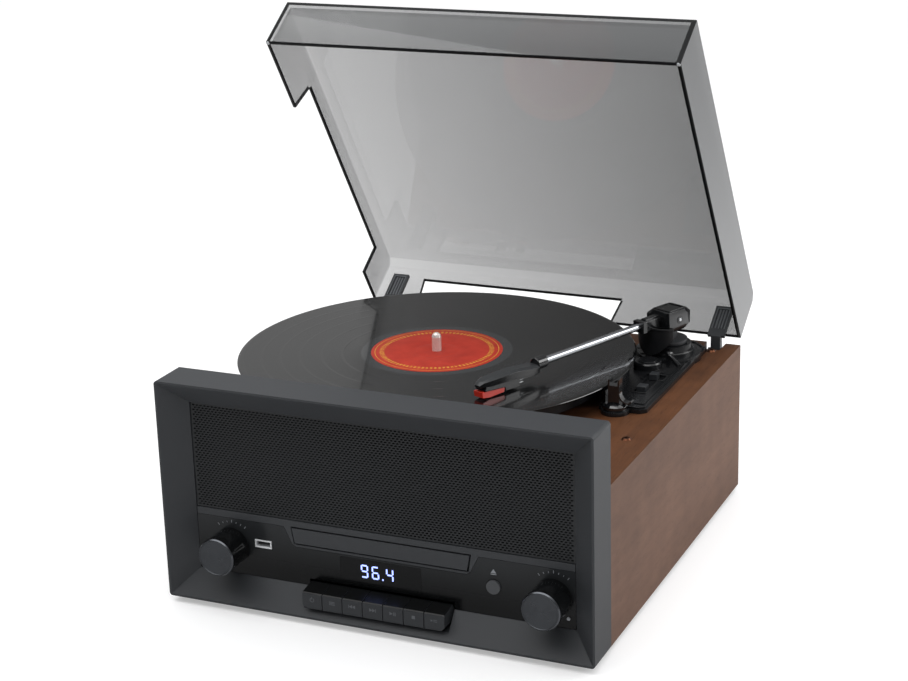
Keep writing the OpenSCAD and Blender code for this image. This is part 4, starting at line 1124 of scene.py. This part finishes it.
# signs on the key fronts, left to right
keyMarks = {
    1: [ringOutline(0, 0, 1.5, 120, 420, 0.4), bar(-0.2, 1.5, 0.4, 1.8)],
    2: [bar(-2.2, 0.9, 4.4, 0.4), bar(-2.2, -0.1, 4.4, 0.4), bar(-2.2, -1.1, 4.4, 0.4)],
    3: [triangle(0, 0, -2.2, 2.6), triangle(2.3, 0, -2.2, 2.6), bar(-2.7, 0, 0.4, 2.6)],
    4: [triangle(-2.3, 0, 2.2, 2.6), triangle(0, 0, 2.2, 2.6), bar(2.3, 0, 0.4, 2.6)],
    5: [triangle(-2.4, 0, 2.4, 2.6), bar(0.6, 0, 0.5, 2.6), bar(1.6, 0, 0.5, 2.6)],
    6: [bar(-1.2, 0, 2.4, 2.4)],
    7: [triangle(-2.6, 0, 1.8, 1.6), bar(-0.6, 0.6, 2.8, 0.4), bar(-0.6, -0.6, 2.8, 0.4)],
}
for number, outlines in keyMarks.items():
    node = "key_%d" % number
    low, high = boxOf(node)
    middle = ((low.x + high.x) / 2, low.y, low.z + 7.2)
    relief("keySign%d" % number, outlines, "keyMark", node, middle, 0.06, "key_plastic")

# the sign above the eject button, and ticks above the knobs
low, high = boxOf("eject_button")
ejectSign = [[(-2.1, 0), (2.1, 0), (0, 3.0)], bar(-2.1, -0.8, 4.2, 0.6)]
panelFace = frontOf("front_panel")
middle = ((low.x + high.x) / 2, panelFace, high.z + 3.6)
relief("ejectSign", ejectSign, "mark", "cabinet", middle, 0.08, "panel_black")
for node in ("tuning_knob", "volume_knob"):
    low, high = boxOf(node)
    ticks = []
    for i in range(-3, 4):
        a = math.radians(90 - i * 12)
        inner, outer = knobLook["cap"] + 3.0, knobLook["cap"] + (5.0 if i % 3 == 0 else 4.2)
        side = Vector((-math.sin(a), math.cos(a))) * 0.2
        points = [Vector((math.cos(a), math.sin(a))) * r for r in (inner, outer)]
        ticks.append([tuple(points[0] - side), tuple(points[0] + side), tuple(points[1] + side),
                      tuple(points[1] - side)][::-1])
    middle = ((low.x + high.x) / 2, panelFace, (low.z + high.z) / 2)
    relief(node + "Ticks", ticks, "mark", "cabinet", middle, 0.08, "panel_black")
print("knobs and signs ready")

# port: folded bright shell with a tongue inside
portLook = {"wall": 1.0, "depth": 6.0, "tongue": (-4.4, -0.9, 4.4, 0.5), "contacts": 4}


def makePort(look):
    low, high = boxOf("usb_port")
    x, z = (low.x + high.x) / 2, (low.z + high.z) / 2
    w, h, t = (high.x - low.x) / 2, (high.z - low.z) / 2, look["wall"]
    front = low.y
    back = front + look["depth"]
    solids = [prism("Y", front, back, rectangle(x + a, z + b, x + c, z + d)) for a, b, c, d in
              ((-w, -h, w, t - h), (-w, h - t, w, h), (-w, t - h, t - w, h - t), (w - t, t - h, w, h - t))]
    a, b, c, d = look["tongue"]
    solids.append(prism("Y", front + 0.9, back, rectangle(x + a, z + b, x + c, z + d), 1))
    step = (c - a) / look["contacts"]
    for i in range(look["contacts"]):
        u = x + a + (i + 0.5) * step
        solids.append(prism("Y", front + 1.0, back - 1, rectangle(u - 0.55, z + b - 0.25, u + 0.55, z + b)))
    solids.append(prism("Y", back - 0.6, back, rectangle(x + t - w, z + t - h, x + w - t, z + h - t), 1))
    port = place("portShell", joined("portShell", solids), ["portBright", "blackPlastic"], "cabinet", None,
                 ["usb_port"], "port_steel", 25)
    roundEdges(port, 0.12)


makePort(portLook)
print("port ready")

# arm base: ribs, rims and steps on the plate, the rest's spring clip
baseLook = {
    "plateTop": 3.0,            # above the deck
    "ledge": [(135.6, 9.4, 136.7, 142.0), (128.6, 8.4, 136.7, 9.5)],
    "ledgeHeight": 0.9,
    "slots": [(120.5, 31.5, 129.5, 61.5), (117.0, 61.5, 133.0, 72.5)],
    "rim": 0.9,
    "rimHeight": 0.7,
    "ribs": {"x0": 120.5, "x1": 134.2, "first": 77.5, "step": 2.7, "count": 5, "width": 0.9,
             "height": 0.6},
    "boss": (112.6, 88.0, 10.8, 5.4),
    "collar": (19.3, 5.8),      # radius and height of the ring round the turret
    "strap": [(123.0, 134.6), (123.5, 131.2), (125.4, 128.3), (128.4, 126.6), (131.0, 126.8),
              (132.6, 128.4)],
    "strapThick": 1.3,
    "strapSpan": (-8.6, -3.0),
}


# flat band that follows points in a plane
def strapOutline(points, thick):
    sides = []
    for i, point in enumerate(points):
        before, after = Vector(points[max(i - 1, 0)]), Vector(points[min(i + 1, len(points) - 1)])
        run = (after - before).normalized()
        across = Vector((-run.y, run.x)) * thick / 2
        sides.append((tuple(Vector(point) + across), tuple(Vector(point) - across)))
    return [a for a, b in sides] + [b for a, b in reversed(sides)]


def makeBase(look):
    top = boxOf("deck")[1].z + look["plateTop"]
    low = top - 0.4
    solids = [prism("Z", low, top + look["ledgeHeight"], rectangle(*r)) for r in look["ledge"]]
    (a0, b0, a1, b1), (c0, d0, c1, d1) = look["slots"]
    w = look["rim"]
    rims = [(a0 - w, b0 - w, a1 + w, b0), (a0 - w, b0, a0, b1 - w), (a1, b0, a1 + w, b1 - w),
            (c0 - w, d0 - w, a0, d0), (a1, d0 - w, c1 + w, d0), (c0 - w, d0, c0, d1), (c1, d0, c1 + w, d1),
            (c0 - w, d1, c1 + w, d1 + w)]
    solids += [prism("Z", low, top + look["rimHeight"], rectangle(*r)) for r in rims]
    ribs = look["ribs"]
    for i in range(ribs["count"]):
        y = ribs["first"] + i * ribs["step"]
        outline = rectangle(ribs["x0"], y, ribs["x1"], y + ribs["width"])
        solids.append(prism("Z", low, top + ribs["height"], outline))
    x, y, r, h = look["boss"]
    solids.append(lofted("Z", [(low, circle(r, 40, x, y)), (top + h - 1.2, circle(r, 40, x, y)),
                               (top + h, circle(r - 1.0, 40, x, y))]))
    solids.append(prism("Z", top + h - 0.2, top + h + 0.6, circle(r - 3.5, 40, x, y)))
    post = jointNamed("arm_lift")["pos_m"]
    px, py = post[0] / mm, post[1] / mm
    r, h = look["collar"]
    solids.append(lofted("Z", [(top, circle(r, 48, px, py)), (top + h - 0.8, circle(r, 48, px, py)),
                               (top + h, circle(r - 0.8, 48, px, py))]))
    base = place("baseRibs", joined("baseRibs", solids), ["baseGloss"], "cabinet", slot="base_plastic",
                 smooth=25)
    roundEdges(base, 0.22)
    solid = prism("Y", *look["strapSpan"], strapOutline(look["strap"], look["strapThick"]))
    strap = place("restClip", joined("restClip", [solid]), ["restGloss"], "cabinet", slot="rest_plastic",
                  smooth=40)
    roundEdges(strap, 0.2)


makeBase(baseLook)
print("arm base ready")

# lid brackets: upright ribs and a rim in the recess, laid out with the lid shut
bracketLook = {
    "face": 155.5,
    "x": 142.2,
    "bars": [(-2.9, 123.0, -1.9, 142.0), (-0.5, 123.0, 0.5, 142.0), (1.9, 123.0, 2.9, 142.0)],
    "rim": [(-4.9, 142.6, 4.9, 143.4), (-5.3, 122.4, -4.6, 143.4), (4.6, 122.4, 5.3, 143.4)],
    "depth": (0.15, 1.2),
    "rimDepth": (-0.25, 0.4),
}


def makeBrackets(look):
    joint = jointNamed("lid_hinge")
    pivot = Vector(joint["pos_m"])
    turn = Matrix.Rotation(math.radians(-lidLook["opened"]), 4, "X")
    turn = Matrix.Translation(pivot) @ turn @ Matrix.Translation(-pivot)
    solids = []
    for side in (-1, 1):
        for outlines, (near, far) in ((look["bars"], look["depth"]), (look["rim"], look["rimDepth"])):
            for x0, z0, x1, z1 in outlines:
                outline = rectangle(side * look["x"] + x0, z0, side * look["x"] + x1, z1)
                solids.append(prism("Y", look["face"] + near, look["face"] + far, outline))
    ribs = place("bracketRibs", joined("bracketRibs", solids), ["bracketRib"], "lid", turn,
                 slot="hinge_plastic", smooth=25)
    roundEdges(ribs, 0.12)


makeBrackets(bracketLook)
print("brackets ready")

# bright sleeve, coloured insert and coloured ring of each audio socket
socketLook = {
    "z": 46.0,
    "root": 168.1,      # the rear panel's face
    "length": 7.85,
    "sleeve": 4.2,      # radii
    "insert": 3.4,
    "bore": 1.75,
    "ring": 5.7,
    "sockets": (("Left", -100.0, "socketWhite"), ("Right", -82.0, "socketRed")),
}


def makeSockets(look):
    r, end = look["sleeve"], look["length"]
    sleeve = [(r, 0, 0), (r, end, 0), (look["insert"], end, 0), (look["insert"], end - 0.02, 1),
              (look["bore"], end - 0.02, 1), (look["bore"], end - 3, 1)]
    rim = look["ring"]
    ring = [(r, 0.02, 1), (r, 0.5, 1), (rim - 0.3, 0.5, 1), (rim, 0.2, 1), (rim, 0, 1)]
    for side, x, colour in look["sockets"]:
        spot = standing((x, look["root"], look["z"]), (0, 1, 0))
        for part, profile in (("Sleeve", sleeve), ("Ring", ring)):
            name = "socket%s%s" % (side, part)
            place(name, turned(name, profile, 40), ["steel", colour], "cabinet", spot,
                  slot="socket_plastic")


makeSockets(socketLook)
print("sockets ready")

soften(["bezel"], 0.6, 3)
soften(["tray_surround", "disc_tray", "front_panel"], 0.3)
soften(["key_%d" % i for i in range(1, 8)], 0.35)
soften(["cabinet_left", "cabinet_right", "deck"], 0.5)
soften(["arm_base", "arm_rest", "arm_yoke", "cue_lever"], 0.35)
soften(["speed_selector", "auto_stop_switch", "eject_button"], 0.3)
soften(["hinge_bases", "lid_brackets", "rear_sockets"], 0.3)
soften(["rear_panel", "base_panel", "feet", "display_window", "usb_port"], 0.2)
